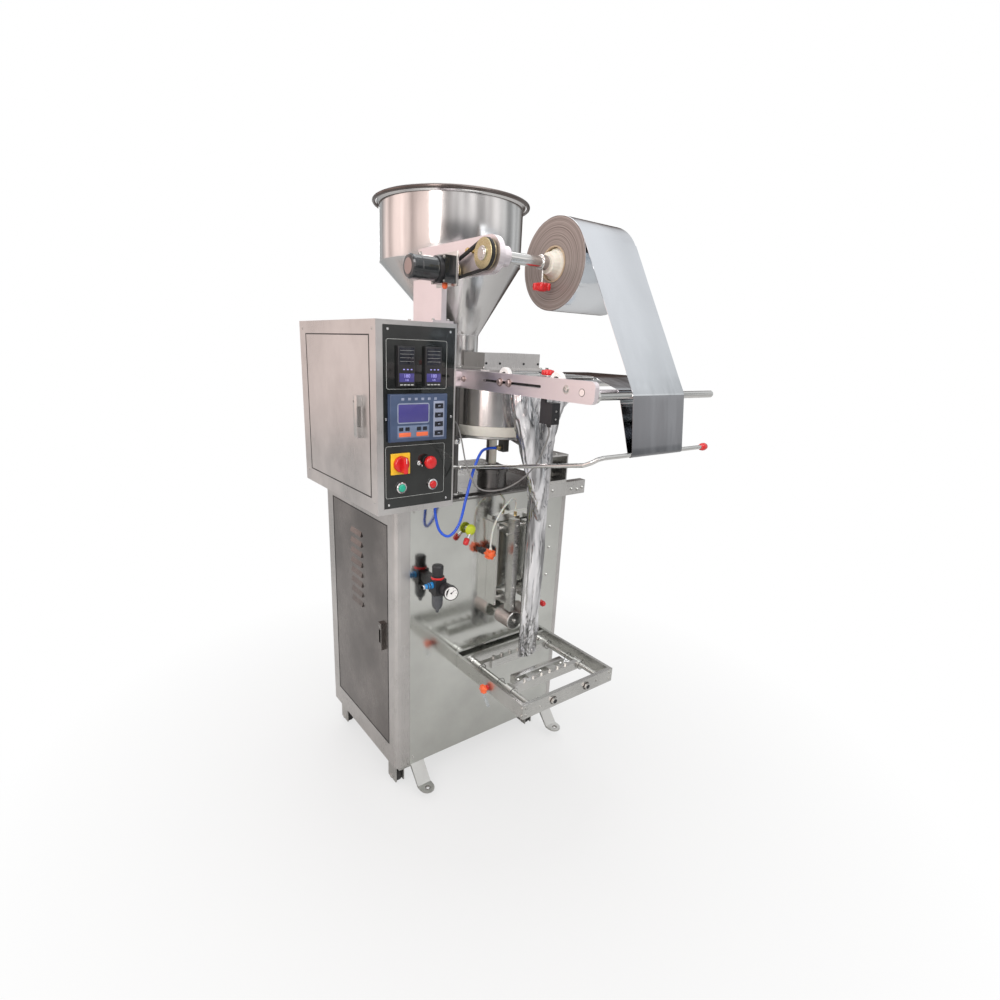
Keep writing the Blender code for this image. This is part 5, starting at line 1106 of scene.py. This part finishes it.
# ---- hoses and cable
END = 0.0007
hose("blue_hose", [(0.312 - END, -0.032, 1.090), (0.290, -0.032, 1.090), (0.250, -0.046, 1.085),
    (0.215, -0.060, 1.040), (0.190, -0.064, 0.965), (0.170, -0.062, 0.890), (0.140, -0.056, 0.856),
    (0.118, -0.040, 0.872), (0.112, -0.026, 0.918), (0.112, -0.026, 0.9423 - END)], 0.0040, HOSE_BLUE,
    "air_hose_blue")
hose("white_hose", [(0.302, -0.042, 0.788 + END), (0.302, -0.042, 0.806), (0.304, -0.048, 0.850),
    (0.318, -0.054, 0.890), (0.348, -0.052, 0.922), (0.382, -0.042, 0.932), (FILM_MID, -0.030, 0.912),
    (FILM_MID, -0.030, 0.886 + END)], 0.0028, HOSE_WHITE, "air_hose_white")
hose("eye_cable", [(0.210, -0.354, 1.196 - END), (0.210, -0.354, 1.172), (0.222, -0.310, 1.105),
    (0.232, -0.240, 1.045), (0.214, -0.180, 1.008), (0.182, -0.130, 1.006), (0.174, -0.085, 1.055),
    (0.177, -0.048, 1.130), (0.172, -0.031, 1.167), (0.154 + END, -0.030, 1.172)], 0.0020, CABLE,
    "sensor_cable")

# ---- stage and light
deselect()
bpy.ops.mesh.primitive_plane_add(size=14, location=(0, 0, -0.0008))
floor = bpy.context.object
floor.name = "studio_floor"
floor_mat, tree, bsdf = new_material("studio floor")
fill(tree, bsdf, {"Base Color": (0.56, 0.56, 0.55, 1), "Roughness": 0.7})
rays = add(tree, "LightPath", {})
white = add(tree, "Emission", {"Color": (1, 1, 1, 1)})
from_middle = add(tree, "TexCoord", {})
reach = add(tree, "VectorMath", {0: from_middle.outputs["Object"]}, operation="LENGTH")
share = add(tree, "Math", {0: rays.outputs["Is Camera Ray"],
    1: spread(tree, reach.outputs["Value"], 0.66, 1.0, 0.45, 1.5)}, operation="MULTIPLY")
mixer = add(tree, "MixShader", {"Fac": share.outputs[0], 1: bsdf.outputs[0], 2: white.outputs[0]})
tree.links.new(mixer.outputs[0], tree.nodes["Material Output"].inputs["Surface"])
floor.data.materials.append(floor_mat)

world = bpy.data.worlds.new("studio") if scene.world is None else scene.world
scene.world = world
world.use_nodes = True
wt = world.node_tree
for n in list(wt.nodes):
    wt.nodes.remove(n)


def world_mix(value, low, high, frm, to):
    """Soft change from one colour to another along one direction."""
    rise = add(wt, "MapRange", {"From Min": frm, "From Max": to, "Value": value},
        interpolation_type="SMOOTHSTEP")
    low, high = ((*c, 1) if isinstance(c, tuple) else c for c in (low, high))
    return add(wt, "Mix", {"A": low, "B": high, "Factor": rise.outputs["Result"]},
        data_type="RGBA").outputs["Result"]


# Round the room: pale rose on the left, grey ahead, brown behind, streaked with tall bright gaps.
coord = add(wt, "TexCoord", {})
parts = add(wt, "SeparateXYZ", {0: coord.outputs["Generated"]}).outputs
left = world_mix(parts["X"], (1.00, 0.82, 0.77), (0.46, 0.47, 0.475), -0.55, -0.02)
ahead = world_mix(parts["Z"], (0.16, 0.16, 0.165), (0.72, 0.70, 0.70), -0.06, 0.03)
front = world_mix(parts["Y"], ahead, left, -0.90, -0.30)
deep = world_mix(parts["X"], (0.0, 0.0, 0.0), (1.0, 1.0, 1.0), 0.30, 0.70)
behind = add(wt, "MapRange", {"From Min": 0.15, "From Max": 0.55, "Value": parts["Y"]})
both = add(wt, "Math", {0: behind.outputs["Result"], 1: deep}, operation="MULTIPLY")
dark = add(wt, "Mix", {"Factor": both.outputs[0], "A": front, "B": (0.085, 0.060, 0.052, 1)},
    data_type="RGBA")
flat = add(wt, "CombineXYZ", {"X": parts["X"], "Y": parts["Y"]})
bands = add(wt, "TexNoise", {"Scale": 3.4, "Detail": 3.0, "Vector": flat.outputs[0]})
gain = spread(wt, bands.outputs["Fac"], 0.72, 1.9, 0.42, 0.66)
painted_streaks = add(wt, "VectorMath", {0: dark.outputs["Result"], "Scale": gain}, operation="SCALE")
sky = world_mix(parts["Z"], painted_streaks.outputs[0], (1.00, 1.00, 1.02), 0.30, 0.75)
room = add(wt, "Background", {"Color": sky, "Strength": 0.9})
plain = add(wt, "Background", {"Color": (1, 1, 1, 1), "Strength": 1.0})
rays = add(wt, "LightPath", {})
choose = add(wt, "MixShader", {"Fac": rays.outputs["Is Camera Ray"], 1: room.outputs[0],
    2: plain.outputs[0]})
add(wt, "OutputWorld", {"Surface": choose.outputs[0]})


def lamp(name, place_at, target, size, power, colour=(1, 1, 1)):
    data = bpy.data.lights.new(name, "AREA")
    data.shape, data.size, data.size_y = "RECTANGLE", size[0], size[1]
    data.energy, data.color = power, colour
    light = bpy.data.objects.new(name, data)
    scene.collection.objects.link(light)
    light.location = place_at
    light.rotation_euler = (Vector(target) - Vector(place_at)).to_track_quat("-Z", "Y").to_euler()
    return light


lamp("key", (-2.6, -1.5, 2.4), (0, 0, 1.2), (0.8, 3.0), 42, (1.0, 0.94, 0.92))
lamp("fill", (0.2, -3.0, 3.6), (0, 0, 0.9), (2.4, 1.6), 34)
lamp("top", (0.2, 0.3, 3.6), (0, 0, 0), (2.2, 2.2), 26)
lamp("back", (1.2, 2.8, 2.6), (0, 0, 1.0), (1.6, 1.6), 18)

scene.view_settings.view_transform = "Standard"
